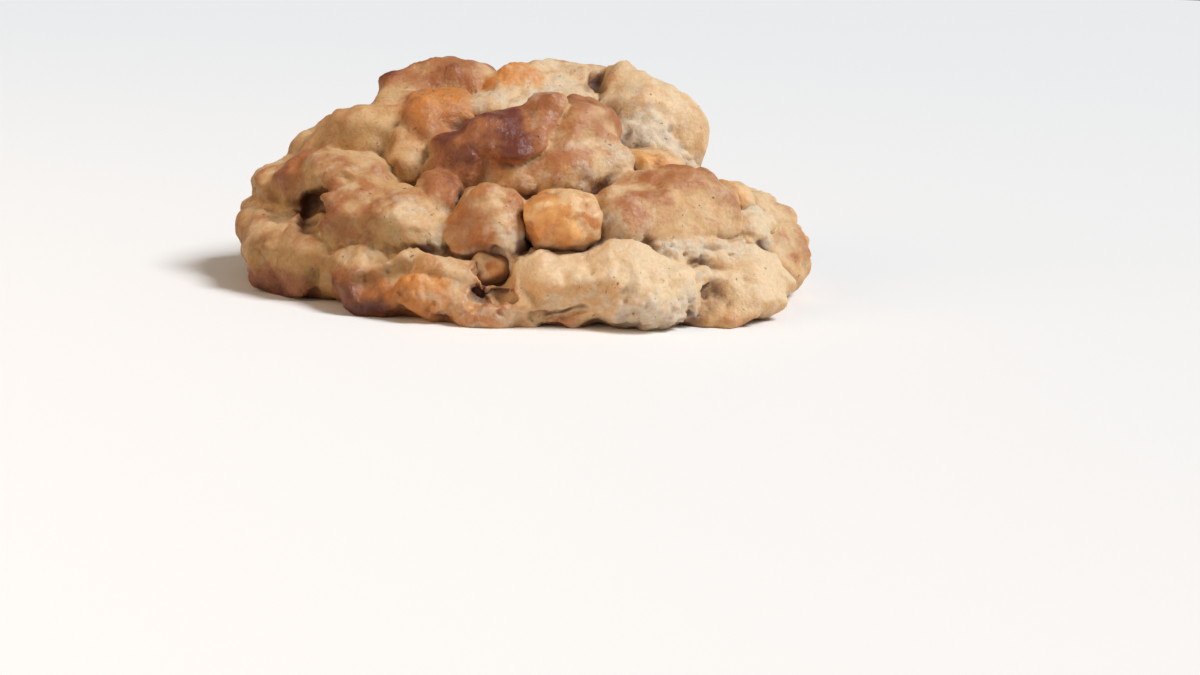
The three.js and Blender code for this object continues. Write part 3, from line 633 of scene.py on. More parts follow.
def read_blocks(blocks, points):
    """The value between the eight corners around each point, weighted by nearness."""
    place = (points - BLOCK_LOW) / BLOCK
    corner = np.clip(np.floor(place).astype(int), 0, BLOCK_COUNT - 2)
    inside = np.clip(place - corner, 0, 1)
    value = np.zeros(len(points))
    for dx, dy, dz in np.ndindex(2, 2, 2):
        weight = (np.abs(1 - dx - inside[:, 0]) * np.abs(1 - dy - inside[:, 1])
                  * np.abs(1 - dz - inside[:, 2]))
        value += weight * blocks[corner[:, 0] + dx, corner[:, 1] + dy, corner[:, 2] + dz]
    return value


blocks = block_field()
print("blocks:", blocks.shape, "inside:", int((blocks < 0).sum() * BLOCK ** 3 / 1000), "cubic cm")

# %% [markdown]
# One grid over a dome
#
# A square grid laid on a disc has no crowded pole, so it covers the dome evenly. The rows
# are drawn towards the front, where the camera looks, and the last ring of the grid lies
# on the floor.

# %% Lines of sight for every grid point
GRID = 300
TOWARDS_FRONT = 0.2
SHELL_RADIUS, SHELL_HEIGHT, SHELL_BASE = 46.0, 30.0, 3.5
WALL_SHARE = 0.08
SHELL_MARGIN, SHELL_REACH = 12.0, 34.0
MOST_STEPS, STEP_SHARE, CLOSE_ENOUGH = 90, 0.6, 0.03


def square_to_disc(a, b):
    """Rings of the square become rings of the disc: the larger coordinate is the radius and
    their ratio the angle."""
    wide = np.abs(a) > np.abs(b)
    radius = np.where(wide, a, b)
    with np.errstate(divide="ignore", invalid="ignore"):
        angle = np.where(wide, math.pi / 4 * b / a, math.pi / 2 - math.pi / 4 * a / b)
    angle = np.where(radius == 0, 0, angle)
    return radius * np.cos(angle), radius * np.sin(angle)


def sight_lines():
    """Start points and inward directions. The shell is half an ellipse spun round z, over a
    short upright wall, and the slant grows from the middle to the rim."""
    side = np.linspace(-1, 1, GRID)
    x, y = square_to_disc(*[v.ravel() for v in np.meshgrid(side, side)])
    y = y - TOWARDS_FRONT * (1 - x * x - y * y)
    share = np.minimum(np.hypot(x, y), 1)
    around = np.arctan2(y, x)
    climb = np.minimum(share / (1 - WALL_SHARE), 1)
    middling = 2 * climb - 1
    slant = math.pi / 2 * (0.5 + 0.5 * np.sign(middling) * middling ** 2)
    on_wall = climb >= 1
    outward = np.column_stack([np.cos(around) * np.sin(slant), np.sin(around) * np.sin(slant),
                               np.where(on_wall, 0, np.cos(slant))])
    radius = SHELL_RADIUS * np.sin(climb * math.pi / 2)
    height = np.where(on_wall, SHELL_BASE * (1 - share) / WALL_SHARE,
                      SHELL_BASE + SHELL_HEIGHT * np.cos(climb * math.pi / 2))
    start = np.column_stack([np.cos(around) * radius, np.sin(around) * radius, height])
    return start + SHELL_MARGIN * outward, -outward


def walk_inward(start, direction):
    """Step by a share of the field until it is nearly zero."""
    travelled = np.zeros(len(start))
    walking = np.arange(len(start))
    for _ in range(MOST_STEPS):
        value = read_blocks(blocks, start[walking] + travelled[walking, None] * direction[walking])
        travelled[walking] += np.maximum(value, 0) * STEP_SHARE
        walking = walking[(value > CLOSE_ENOUGH) & (travelled[walking] < SHELL_REACH)]
        if not len(walking):
            break
    return start + travelled[:, None] * direction


points = walk_inward(*sight_lines())
print("grid points:", len(points), "highest:", points[:, 2].max().round(2), "mm")

# %% [markdown]
# Evening out the grid
#
# Where lines pass an edge, one lands on top of a lump and the next far down in the crease
# beyond, and the quad between them is stretched. So every point moves half way to the
# middle of its four neighbours and is then put back on the skin, round after round, until
# steep places have their share of points.

# %% Relax and settle
EVENING_ROUNDS, SETTLING_ROUNDS = 30, 2
EVENING_MARGIN = 4.5
SETTLE_SHARE, SETTLE_MOST, SETTLE_FLATTEST = 0.85, 1.0, 0.3
LOWEST = 0.12


def neighbour_mean(grid):
    """The mean of the four neighbours. Along the edge of the grid, only those on the edge."""
    mean = np.empty_like(grid)
    mean[1:-1, 1:-1] = (grid[:-2, 1:-1] + grid[2:, 1:-1] + grid[1:-1, :-2] + grid[1:-1, 2:]) / 4
    for edge, line in ((mean[0], grid[0]), (mean[-1], grid[-1]),
                       (mean[:, 0], grid[:, 0]), (mean[:, -1], grid[:, -1])):
        edge[1:-1] = (line[:-2] + line[2:]) / 2
    for i, j in ((0, 0), (0, -1), (-1, 0), (-1, -1)):
        beside_i, beside_j = (1 if i == 0 else -2), (1 if j == 0 else -2)
        mean[i, j] = (grid[beside_i, j] + grid[i, beside_j]) / 2
    return mean


def settle(points, near, on_floor):
    """Move each point along the outward direction by the field's value, floor points level."""
    value, outward = dough_field(points, near)
    outward[on_floor, 2] = 0
    steepness = np.maximum((outward ** 2).sum(1), SETTLE_FLATTEST)
    step = np.clip(value, -SETTLE_MOST, SETTLE_MOST) * SETTLE_SHARE / steepness
    points = points - outward * step[:, None]
    points[:, 2] = np.where(on_floor, 0, np.maximum(points[:, 2], LOWEST))
    return points


def evened(points):
    """Rounds of half a step to the neighbours' mean, each put back on the skin."""
    edge = np.zeros((GRID, GRID), bool)
    edge[0] = edge[-1] = edge[:, 0] = edge[:, -1] = True
    on_floor = edge.ravel()
    near = masses_near(bend(points), EVENING_MARGIN)
    for number in range(EVENING_ROUNDS):
        if number == EVENING_ROUNDS // 2:
            near = masses_near(bend(points), EVENING_MARGIN)
        mean = neighbour_mean(points.reshape(GRID, GRID, 3)).reshape(-1, 3)
        points = settle(points + 0.5 * (mean - points), near, on_floor)
    for _ in range(SETTLING_ROUNDS):
        points = settle(points, near, on_floor)
    return points, near, on_floor


points, near, on_floor = evened(points)
left_over = np.abs(dough_field(points, near)[0])
print("after evening:", left_over.mean().round(3), "mm off the skin on average")

# %% [markdown]
# How each spot is baked
#
# Heat comes from above, so it browns what stands up and leaves the sheltered sides of each
# lump pale. Each lump has its own tone, and at a point the tones of the lumps around it are
# blended by nearness. On top of that come three measured things: how far a point stands
# above its smoothed surroundings, how much open air is in front of it, and how much of the
# sky it sees.

# %% Tones, tips, hollows and sky
TONE_SOFTNESS = 0.8
PLAIN_TONE = (0.3, 0.05, 0.05)
SMOOTHING_ROUNDS = 14
NORMAL_ROUNDS = 4
PROBE_MM = (1.2, 3.2)
SKY_PROBE_MM = (2.0, 4.5, 8.0)
SKY_LINES = ((0, (0,)), (35, (0, 90, 180, 270)), (62, (45, 135, 225, 315)))   # tilt, turns
SKY_START, SKY_CLEAR, SKY_GRAZING = 0.6, 0.35, 0.35


def outward_of(grid):
    """Unit normals: the cross product of the differences along the grid's two directions."""
    along = np.gradient(grid, axis=1)
    across = np.gradient(grid, axis=0)
    normal = np.cross(along, across)
    return normal / (np.linalg.norm(normal, axis=2, keepdims=True) + 1e-12)


def blended_tones(points, near):
    """The tones of all lumps at each point, weighted by exp(-distance / softness)."""
    bent = bend(points)
    plain = np.minimum(puddle_distance(bent)[0], ellipsoid_distance(bent, DOME_LUMP)[0])
    total = np.exp(-plain / TONE_SOFTNESS)
    sums = total[:, None] * np.array(PLAIN_TONE)
    for rows_of_mass, mass, rows in zip(ALL_ROWS, ALL_MASSES, near):
        for row, lump in zip(rows_of_mass, mass):
            weight = np.exp(-ellipsoid_distance(bent[rows], lump)[0] / TONE_SOFTNESS)
            total[rows] += weight
            sums[rows] += weight[:, None] * np.array(row[8:11])
    return sums / total[:, None]


def standing_out(grid, normal):
    """Height in mm above the surface after rounds of averaging with the neighbours."""
    smooth = grid.copy()
    for _ in range(SMOOTHING_ROUNDS):
        smooth[1:-1, 1:-1] = neighbour_mean(smooth)[1:-1, 1:-1]
    return ((grid - smooth) * normal).sum(2)


def closed_in(points, normal, near):
    """One minus the mean of field / distance at two probes in front of the surface."""
    open_air = [np.clip(dough_field(points + reach * normal, near)[0] / reach, 0, 1)
                for reach in PROBE_MM]
    return 1 - sum(open_air) / len(open_air)


def sky_share(points, normal):
    """The share of sky that a point sees: along nine upward lines, how clear the least
    clear of three probes is, by the field on blocks."""
    lines = [np.radians([tilt, turn]) for tilt, turns in SKY_LINES for turn in turns]
    share = np.zeros(len(points))
    for tilt, turn in lines:
        up, level = math.cos(tilt), math.sin(tilt)
        line = np.array([level * math.cos(turn), level * math.sin(turn), up])
        clear = np.ones(len(points))
        for reach in SKY_PROBE_MM:
            value = read_blocks(blocks, points + SKY_START * normal + reach * line)
            clear = np.minimum(clear, np.clip(value / (SKY_CLEAR * reach), 0, 1))
        share += clear * np.clip(normal @ line + SKY_GRAZING, 0, 1)
    return share / len(lines)


grid_points = points.reshape(GRID, GRID, 3)
normals = outward_of(grid_points)
for _ in range(NORMAL_ROUNDS):
    normals = neighbour_mean(normals)
    normals = normals / np.linalg.norm(normals, axis=2, keepdims=True)
flat_normals = normals.reshape(-1, 3)
browned, orange, pale = blended_tones(points, near).T
tips = standing_out(grid_points, normals).ravel()
hollow_and_shade = closed_in(points, flat_normals, near)
sky = sky_share(points, flat_normals)
print("tips:", tips.min().round(2), "to", tips.max().round(2), "mm")
print("hollow mean:", hollow_and_shade.mean().round(2), "sky mean:", sky.mean().round(2))

# %% [markdown]
# Crumbs and pits
#
# Close up, a smooth lump has a fine grain and a few pits, and a broken one is all crumbs.
# For crumbs, random feature points are thrown into a lattice, and the distance to the
# nearest makes a small mound around each. Mounds that are flatter than wide look like
# flakes.

# %% Fine relief along the normals
FLAKE_SIZE, FLAKE_HEIGHT = 3.4, 1.3
CRUMB_SIZE, CRUMB_HEIGHT = 1.7, 0.9
GRIT_SIZE, GRIT_HEIGHT, LEAST_GRIT = 0.9, 0.3, 0.15
PIMPLE_SIZE, PIMPLE_HEIGHT = 2.6, 0.24
GRAIN_SIZE, GRAIN_HEIGHT = 1.2, 0.07
PIT_SIZE, PIT_DEPTH, LEAST_PITS = 1.7, 0.4, 0.3
ROUGH_IF_PALE, ROUGH_IF_ORANGE, ROUGH_IF_HOLLOW, ROUGH_IN_PATCHES = 0.85, 0.5, 0.6, 0.3
PATCH_SIZE = 6.0
SMOOTH_IF_BROWNED, CALM_IN_HOLLOWS = 0.7, 0.8
WANDER_SIZE, WANDER_MM, FLAKE_FLATNESS = 1.5, 0.4, 1.7
GROOVE_DEPTH, GROOVE_WIDTH = 0.35, 0.6
FOOT_HEIGHT, LOWEST_SKIN = 1.2, 0.05


def mounds(points, size, seed):
    """Half a lattice step minus the distance to the nearest feature point, in steps."""
    scaled = points / size
    home = np.floor(scaled).astype(np.int64)
    nearest = np.full(len(points), 9.0)
    for step in np.ndindex(3, 3, 3):
        cell = home + (np.array(step) - 1)
        pick = whole_hash(cell[:, 0], cell[:, 1], cell[:, 2], seed)
        feature = cell + np.column_stack([(pick >> np.uint32(shift)) & np.uint32(1023)
                                          for shift in (0, 10, 20)]) / 1024
        nearest = np.minimum(nearest, ((feature - scaled) ** 2).sum(1))
    return 0.5 - np.sqrt(nearest)


def fine_relief(points):
    """Mounds of several sizes, larger where the dough is broken or sheltered, and two
    noises, minus pits. All in mm along the normal."""
    rough = ROUGH_IF_PALE * ramp(pale, 0.1, 0.7) + ROUGH_IF_ORANGE * orange
    rough += ROUGH_IF_HOLLOW * ramp(hollow_and_shade, 0.25, 0.6)
    rough += ROUGH_IN_PATCHES * ramp(noise(points, PATCH_SIZE, 40), 0.15, 0.5)
    rough = np.clip(rough, 0, 1) * (1 - SMOOTH_IF_BROWNED * ramp(browned, 0.6, 1.0))
    wander = np.column_stack([noise(points, WANDER_SIZE, seed) for seed in (50, 51, 52)])
    wandering = points + WANDER_MM * wander
    flakes = mounds(wandering * (1, 1, FLAKE_FLATNESS), FLAKE_SIZE, 48)
    crumbs = mounds(wandering, CRUMB_SIZE, 42)
    grit = mounds(points, GRIT_SIZE, 43)
    pits = ramp(noise(points, PIT_SIZE, 46), 0.34, 0.48)
    height = rough * (FLAKE_HEIGHT * flakes * ramp(rough, 0.3, 0.9) + CRUMB_HEIGHT * crumbs)
    height += (LEAST_GRIT + rough) * GRIT_HEIGHT * grit
    height += (PIMPLE_HEIGHT * noise(points, PIMPLE_SIZE, 47)
               + GRAIN_HEIGHT * noise(points, GRAIN_SIZE, 49))
    height -= PIT_DEPTH * pits * (LEAST_PITS + rough)
    return height * (1 - CALM_IN_HOLLOWS * ramp(hollow_and_shade, 0.55, 0.9))


def chip_groove(points):
    """A soft groove where the dough meets a chip: depth * exp(-(distance / width)^2)."""
    bottom = np.zeros(len(points))
    for row in CHIPS.values():
        distance = ellipsoid_distance(points, as_lump(row))[0]
        bottom = np.maximum(bottom, np.exp(-(distance / GROOVE_WIDTH) ** 2))
    return GROOVE_DEPTH * bottom


groove = chip_groove(points)
fine = fine_relief(points) - groove
fine[on_floor] = 0
fine *= ramp(points[:, 2], 0, FOOT_HEIGHT)
skin = points + fine[:, None] * flat_normals
skin[:, 2] = np.where(on_floor, 0, np.maximum(skin[:, 2], LOWEST_SKIN))
print("fine relief:", fine.min().round(2), "to", fine.max().round(2), "mm")

# %% [markdown]
# What the finish reads
#
# Six tones on every point tell the finish what to show. Browned starts from the lumps' own
# browning. Open sky and tips add to it and hollows take from it. The right side, where the
# main light falls, is made less browned, which is painted light. The foot of the rim is
# browned darker, and its extra darkness at the left is partly painted shade. Above the foot,
# dough that sees little sky is paler. The hollow tone is painted shade: closed-in places,
# the grooves round the chips and dough that sees almost no sky get a darker colour. The left
# side's steep faces get a painted warm shade, and what lies open to the sky further right is
# turned creamy, partly as painted light.

# %% Six tones on the points
SKY_HEAT, MIDDLE_SKY = 0.28, 0.46
TIP_HEAT, TIP_MM, TIP_LIMITS = 0.38, 0.8, (-0.5, 0.6)
HOLLOW_LOSS = 0.25
RIGHT_PAINTED_LIGHT, RIGHT_FROM, RIGHT_WIDTH = 0.22, 2, 32
FOOT_HEAT, LEFT_FOOT_HEAT_AND_SHADE = 0.25, 0.15
GROOVE_SHADE, DARK_SHADE, DEEPEST_SHADE = 0.4, 0.45, 1.3
SHELTERED_PALE, BROWNED_LOSS = 0.28, 0.2
SHADE_LOST_ON_TOP = 0.85


def six_tones():
    """Each tone is a sum or a product of amounts times eased shares from 0 to 1."""
    x, z = points[:, 0], points[:, 2]
    heat = browned + SKY_HEAT * (sky - MIDDLE_SKY) + TIP_HEAT * np.clip(tips / TIP_MM, *TIP_LIMITS)
    heat = heat - HOLLOW_LOSS * ramp(hollow_and_shade, 0.35, 0.8)
    # painted light: the right side, where the main light falls, is made less browned and so lighter
    heat = heat - RIGHT_PAINTED_LIGHT * np.clip((x - RIGHT_FROM) / RIGHT_WIDTH, 0, 1)
    # the foot is a browned crust; its extra darkness at the left is partly painted shade
    heat = heat + (FOOT_HEAT + LEFT_FOOT_HEAT_AND_SHADE * ramp(-x, -5, 15)) * (1 - ramp(z, 0.5, 7.0))
    # painted shade: closed-in places, the grooves round the chips and dough that sees almost no sky
    # are darkened
    shade = hollow_and_shade + GROOVE_SHADE * groove + DARK_SHADE * (1 - ramp(sky, 0.03, 0.3))
    sheltered = (1 - ramp(sky, 0.12, 0.42)) * ramp(z, 1.5, 5.0)
    paler = pale + SHELTERED_PALE * sheltered - BROWNED_LOSS * ramp(browned, 0.6, 1.0)
    on_top = ramp(flat_normals[:, 2], 0.15, 0.8)
    # painted warm shade: steep faces on the left, away from the main light, are darkened, up-facing
    # ones much less
    left_side_shade = ramp(-x, 0, 24) * (1 - SHADE_LOST_ON_TOP * on_top)
    # partly painted light: hardly browned dough further right that is open to the sky is turned
    # creamy
    cream_and_painted_light = ramp(x, -24, 8) * ramp(sky, 0.3, 0.6) * (1 - ramp(browned, 0.0, 0.5))
    return {"browned": heat, "orange": orange, "hollow_and_shade": np.clip(shade, 0, DEEPEST_SHADE),
            "pale": paler, "left_side_shade": left_side_shade, "cream_and_painted_light": cream_and_painted_light}


top_tones = six_tones()
print("mean tones:", {name: round(float(tone.mean()), 2) for name, tone in top_tones.items()})

# %% [markdown]
# The dough as a mesh
#
# The grid is closed by an underside. The ring on the floor is halved again and again
# towards the middle, so that the flat underside costs few faces. The tones are stored on
# the points, and the underside is plainly browned.

# %% Build the dough
MM = 0.001
RING_SHARES = (0.82, 0.6, 0.42, 0.26, 0.12)


def grid_quads(rows, columns):
    """Corner numbers of every quad of a grid, anticlockwise seen from outside."""
    corner = np.arange(rows * columns).reshape(rows, columns)
    around = [corner[:-1, :-1], corner[:-1, 1:], corner[1:, 1:], corner[1:, :-1]]
    return np.stack(around, -1).reshape(-1, 4)


def floor_ring():
    """The numbers of the grid's edge points, once round anticlockwise."""
    corner = np.arange(GRID * GRID).reshape(GRID, GRID)
    return np.concatenate([corner[0, :-1], corner[:-1, -1], corner[-1, :0:-1], corner[:0:-1, 0]])


def underside(skin):
    """Rings that shrink towards the middle. Each has half the points of the one outside,
    as long as that number is even."""
    outer = floor_ring()
    edge = skin[outer]
    added, faces, count = [], [], len(skin)
    for share in RING_SHARES:
        halve = len(outer) % 2 == 0
        kept = edge[::2] if halve else edge
        inner = count + np.arange(len(kept))
        added.append(kept * share)
        count += len(kept)
        following = np.roll(inner, -1)
        if halve:
            a, b, c = outer[::2], outer[1::2], np.roll(outer, -2)[::2]
            faces += np.stack([a, inner, b], 1).tolist()
            faces += np.stack([b, inner, following], 1).tolist()
            faces += np.stack([b, following, c], 1).tolist()
        else:
            faces += np.stack([outer, inner, following, np.roll(outer, -1)], 1).tolist()
        outer, edge = inner, kept
    added.append(np.zeros((1, 3)))
    faces += np.stack([np.full(len(outer), count), np.roll(outer, -1), outer], 1).tolist()
    return np.concatenate(added), faces


def make_piece(name, points_mm, faces, tones):
    """A smooth-shaded mesh object at the origin, with one number per point and tone."""
    mesh = bpy.data.meshes.new(name)
    mesh.from_pydata((points_mm * MM).tolist(), [], faces)
    mesh.polygons.foreach_set("use_smooth", np.ones(len(mesh.polygons), bool))
    for tone, values in tones.items():
        layer = mesh.attributes.new(tone, "FLOAT", "POINT")
        layer.data.foreach_set("value", np.asarray(values, np.float32))
    mesh.update()
    piece = bpy.data.objects.new(name, mesh)
    bpy.context.collection.objects.link(piece)
    return piece


under_points, under_faces = underside(skin)
under_count = len(under_points)
under_tones = {name: np.full(under_count, float(name == "browned")) for name in top_tones}
dough = make_piece(
    "dough_surface", np.concatenate([skin, under_points]),
    grid_quads(GRID, GRID).tolist() + under_faces,
    {name: np.concatenate([tone, under_tones[name]]) for name, tone in top_tones.items()})
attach(dough, "root")
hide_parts("cookie_dough")
triangles = sum(len(face.vertices) - 2 for face in dough.data.polygons)
print("dough:", len(dough.data.vertices), "points,", triangles, "triangles")

# %% [markdown]
# The chips
#
# Peanut butter chips are waxy drops that slump in the oven and come out dented and a
# little square. Each is made on a grid of latitude and longitude whose first and last rows
# are single points, so that both poles are closed. Dough smears onto a chip where they
# meet, and a chip deep in a crack sees little sky, which its finish turns into painted
# shade. Both are stored on its points.

# %% Build the chips
CHIP_ROWS, CHIP_COLUMNS = 72, 120
CHIP_SQUARENESS = 2.35
CHIP_SWELL, SWELL_SPREAD, SWELL_SIZE = 0.09, 8, 6
CHIP_DENTS, DENT_SIZE = 0.15, 4.4
CHIP_BUMPS, BUMP_SIZE = 0.13, 2.6
CHIP_GRAIN, CHIP_GRAIN_SIZE = 0.012, 0.7
SMEAR_WHERE_CLOSE, SMEAR_IN_PATCHES, SMEAR_ON_SIDE = 0.9, 0.5, 0.65
SMEAR_SIZE = 3.6
SMEAR_SIDE = np.array([0.65, 0.0, 0.75])


def chip_surface(row):
    """Directions by latitude and longitude, times the half-sizes, times a radius: the one
    of a rounded block, (|x|^p + |y|^p + |z|^p)^(-1/p), and noise of four sizes."""
    latitude = np.linspace(-math.pi / 2, math.pi / 2, CHIP_ROWS)[1:-1]
    longitude = np.linspace(0, 2 * math.pi, CHIP_COLUMNS, endpoint=False)
    lat, lon = np.meshgrid(latitude, longitude, indexing="ij")
    level = np.cos(lat)
    direction = np.stack([level * np.cos(lon), level * np.sin(lon), np.sin(lat)], -1)
    direction = np.concatenate([[[0, 0, -1]], direction.reshape(-1, 3), [[0, 0, 1]]])
    centre, half, axes, _ = as_lump(row)
    square = (np.abs(direction) ** CHIP_SQUARENESS).sum(1) ** (-1 / CHIP_SQUARENESS)
    surface = direction * half + centre
    uneven = (1.0 + CHIP_SWELL * noise(direction * SWELL_SPREAD + centre, SWELL_SIZE, 21)
              - CHIP_DENTS * np.abs(noise(surface, DENT_SIZE, 24))
              + CHIP_BUMPS * noise(surface, BUMP_SIZE, 22)
              + CHIP_GRAIN * noise(surface, CHIP_GRAIN_SIZE, 23))
    return (direction * half * (square * uneven)[:, None]) @ axes.T + centre


def smeared(surface, row):
    """Where dough clings to a chip: close above the dough, in patches on the rest, and on
    the side that faces up and to the right."""
    close = 1 - ramp(read_blocks(blocks, surface), 0.1, 1.3)
    patches = ramp(noise(surface, SMEAR_SIZE, 25), 0.18, 0.42)
    side = ramp(((surface - row[:3]) / row[3:6]) @ SMEAR_SIDE, 0.15, 0.8)
    smear = SMEAR_WHERE_CLOSE * close + SMEAR_IN_PATCHES * patches + SMEAR_ON_SIDE * side
    return np.clip(smear, 0, 1)


def shaded(surface, centre):
    """How little of the sky a chip's surface sees, taking its outside as facing away from
    its centre."""
    away = surface - centre
    away = away / np.linalg.norm(away, axis=1, keepdims=True)
    return 1 - ramp(sky_share(surface, away), 0.05, 0.4)


def chip_faces():
    """Quads between neighbouring rows, and a fan of triangles at each pole."""
    rows = CHIP_ROWS - 2
    ring = 1 + np.arange(rows * CHIP_COLUMNS).reshape(rows, CHIP_COLUMNS)
    beside = np.roll(ring, -1, axis=1)
    quads = np.stack([ring[:-1], beside[:-1], beside[1:], ring[1:]], -1).reshape(-1, 4).tolist()
    last = 1 + rows * CHIP_COLUMNS
    south = np.stack([np.zeros(CHIP_COLUMNS, int), beside[0], ring[0]], 1).tolist()
    north = np.stack([np.full(CHIP_COLUMNS, last), ring[-1], beside[-1]], 1).tolist()
    return quads + south + north


chips = []
for name, row in CHIPS.items():
    surface = chip_surface(row)
    tones = {"smeared": smeared(surface, row), "shaded": shaded(surface, row[:3])}
    chip = make_piece(name + "_surface", surface, chip_faces(), tones)
    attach(chip, "root")
    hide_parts(name)
    chips.append(chip)
print(len(chips), "chips of", len(chips[0].data.polygons), "faces each")

# %% [markdown]
# Mixing colours in nodes
#
# The finishes are node trees. A few small helpers keep them readable: one places a node
# and sets its inputs, one reads a tone stored on the points, one makes a tone uneven with
# noise, and one lays colours over each other by their tones. Dough and chips both let some
# light in under their skin and have a fine grain and bump.

# %% Helpers for node trees
LIGHT_LET_IN = 0.35
BUMP_STRENGTH, BUMP_METRES = 0.7, 0.0003


def linear(red, green, blue):
    """A colour as a screen shows it, 0 to 255, turned into the linear numbers that nodes use."""
    def channel(v):
        v = v / 255
        return v / 12.92 if v <= 0.04045 else ((v + 0.055) / 1.055) ** 2.4
    return channel(red), channel(green), channel(blue), 1.0


class Finish:
    """A material whose nodes are added by name and wired by giving sockets as values."""

    def __init__(self, name):
        self.material = bpy.data.materials.new(name)
        self.material.use_nodes = True
        self.tree = self.material.node_tree
        self.surface = self.tree.nodes["Principled BSDF"]
        self.place = self.node("ShaderNodeTexCoord").outputs["Object"]

    def set(self, socket, value):
        """Wires a socket to another, or gives it a value."""
        if isinstance(value, bpy.types.NodeSocket):
            self.tree.links.new(value, socket)
        else:
            socket.default_value = value

    def node(self, kind, inputs=None, **settings):
        node = self.tree.nodes.new(kind)
        for key, value in settings.items():
            setattr(node, key, value)
        for key, value in (inputs or {}).items():
            self.set(node.inputs[key], value)
        return node

    def stored(self, key):
        return self.node("ShaderNodeAttribute", attribute_name=key).outputs["Fac"]

    def math(self, operation, first, second):
        return self.node("ShaderNodeMath", {0: first, 1: second},
                         operation=operation).outputs["Value"]

    def ramp(self, value, low, high, out_low=0.0, out_high=1.0):
        """One output below low, another above high, eased between."""
        return self.node("ShaderNodeMapRange", {"Value": value, "From Min": low, "From Max": high,
                                                "To Min": out_low, "To Max": out_high},
                         interpolation_type="SMOOTHSTEP").outputs["Result"]

    def noise(self, size_mm, detail=3.0, roughness=0.55):
        return self.node("ShaderNodeTexNoise",
                         {"Vector": self.place, "Scale": 1000 / size_mm,
                          "Detail": detail, "Roughness": roughness}).outputs["Fac"]

    def uneven(self, value, noise, amount):
        """The value, lowered or raised by up to an amount where the noise is low or high."""
        return self.math("ADD", value, self.ramp(noise, 0.3, 0.7, -amount, amount))

    def mix(self, factor, first, second, blend="MIX"):
        node = self.node("ShaderNodeMix", data_type="RGBA", blend_type=blend)
        self.set(node.inputs["Factor"], factor)
        self.set(node.inputs[6], first)
        self.set(node.inputs[7], second)
        return node.outputs[2]

    def layered(self, colour, layers, tones):
        """Colours laid over one another, each from where its tone starts to where it is full."""
        for tone, start, full, most, layer in layers:
            colour = self.mix(self.ramp(tones[tone], start, full, 0.0, most), colour, layer)
        return colour

    def grained(self, colour, share, grain, dark, light):
        return self.mix(share, colour, self.ramp(grain, 0.25, 0.75, dark, light), "MULTIPLY")

    def let_light_in(self, radius, scale):
        """The radius says how far red, green and blue light goes in, times the scale in metres."""
        self.surface.inputs["Subsurface Weight"].default_value = LIGHT_LET_IN
        self.surface.inputs["Subsurface Radius"].default_value = radius
        self.surface.inputs["Subsurface Scale"].default_value = scale

    def bump(self, height):
        bump = self.node("ShaderNodeBump", {"Strength": BUMP_STRENGTH, "Distance": BUMP_METRES,
                                            "Height": height})
        self.set(self.surface.inputs["Normal"], bump.outputs["Normal"])


print("linear tan:", [round(v, 3) for v in linear(216, 172, 124)])

# %% [markdown]
# Baked dough
#
# From the photograph: golden tan where it is smooth, reddish brown on the crown and the
# high edges, orange where peanut butter has melted, floury and pale where it is broken,
# creamy and partly painted light on the right, a painted warm shade on the left, and
# painted shade in the creases. Slow noise keeps each field of colour from being even, and
# a fine grain and small dark specks come last. Browned skin is a little shiny, crumbs are
# dull.

# %% The dough's finish
DOUGH_TAN = linear(222, 186, 140)
DOUGH_WARM = linear(209, 163, 110)
# a cream that the dough has in patches, also used for painted light on the right
CREAM_AND_PAINTED_LIGHT = linear(234, 208, 170)
BROWNED = linear(178, 115, 72)
DEEP_BROWN = linear(112, 53, 36)
PEANUT_ORANGE = linear(220, 144, 68)
FLOURY = linear(212, 194, 170)
# painted shade colours for creases and cracks
CREASE_PAINTED_SHADE = linear(100, 56, 36)
CRACK_PAINTED_SHADE = linear(66, 34, 22)
# a warm colour multiplied in as painted shade on the left side's steep faces
WARM_PAINTED_SHADE = linear(194, 182, 150)
SPECK_BROWN = linear(96, 54, 36)
# each: (tone, where it starts, where it is full, its most, colour)
DOUGH_LAYERS = (
    ("browned", 0.2, 0.95, 1.0, BROWNED),
    ("browned", 0.9, 1.5, 1.0, DEEP_BROWN),
    ("orange", 0.1, 0.85, 0.85, PEANUT_ORANGE),
    ("pale", 0.15, 0.85, 0.9, FLOURY),
    # painted shade: the hollow tone darkens the creases and, deepest, the cracks
    ("hollow_and_shade", 0.32, 0.85, 0.9, CREASE_PAINTED_SHADE),
    ("hollow_and_shade", 0.85, 1.2, 0.8, CRACK_PAINTED_SHADE),
)
CREAM_AND_LIGHT_SHARE, GRAIN_SHARE, SPECK_SHARE = 0.72, 0.4, 0.7


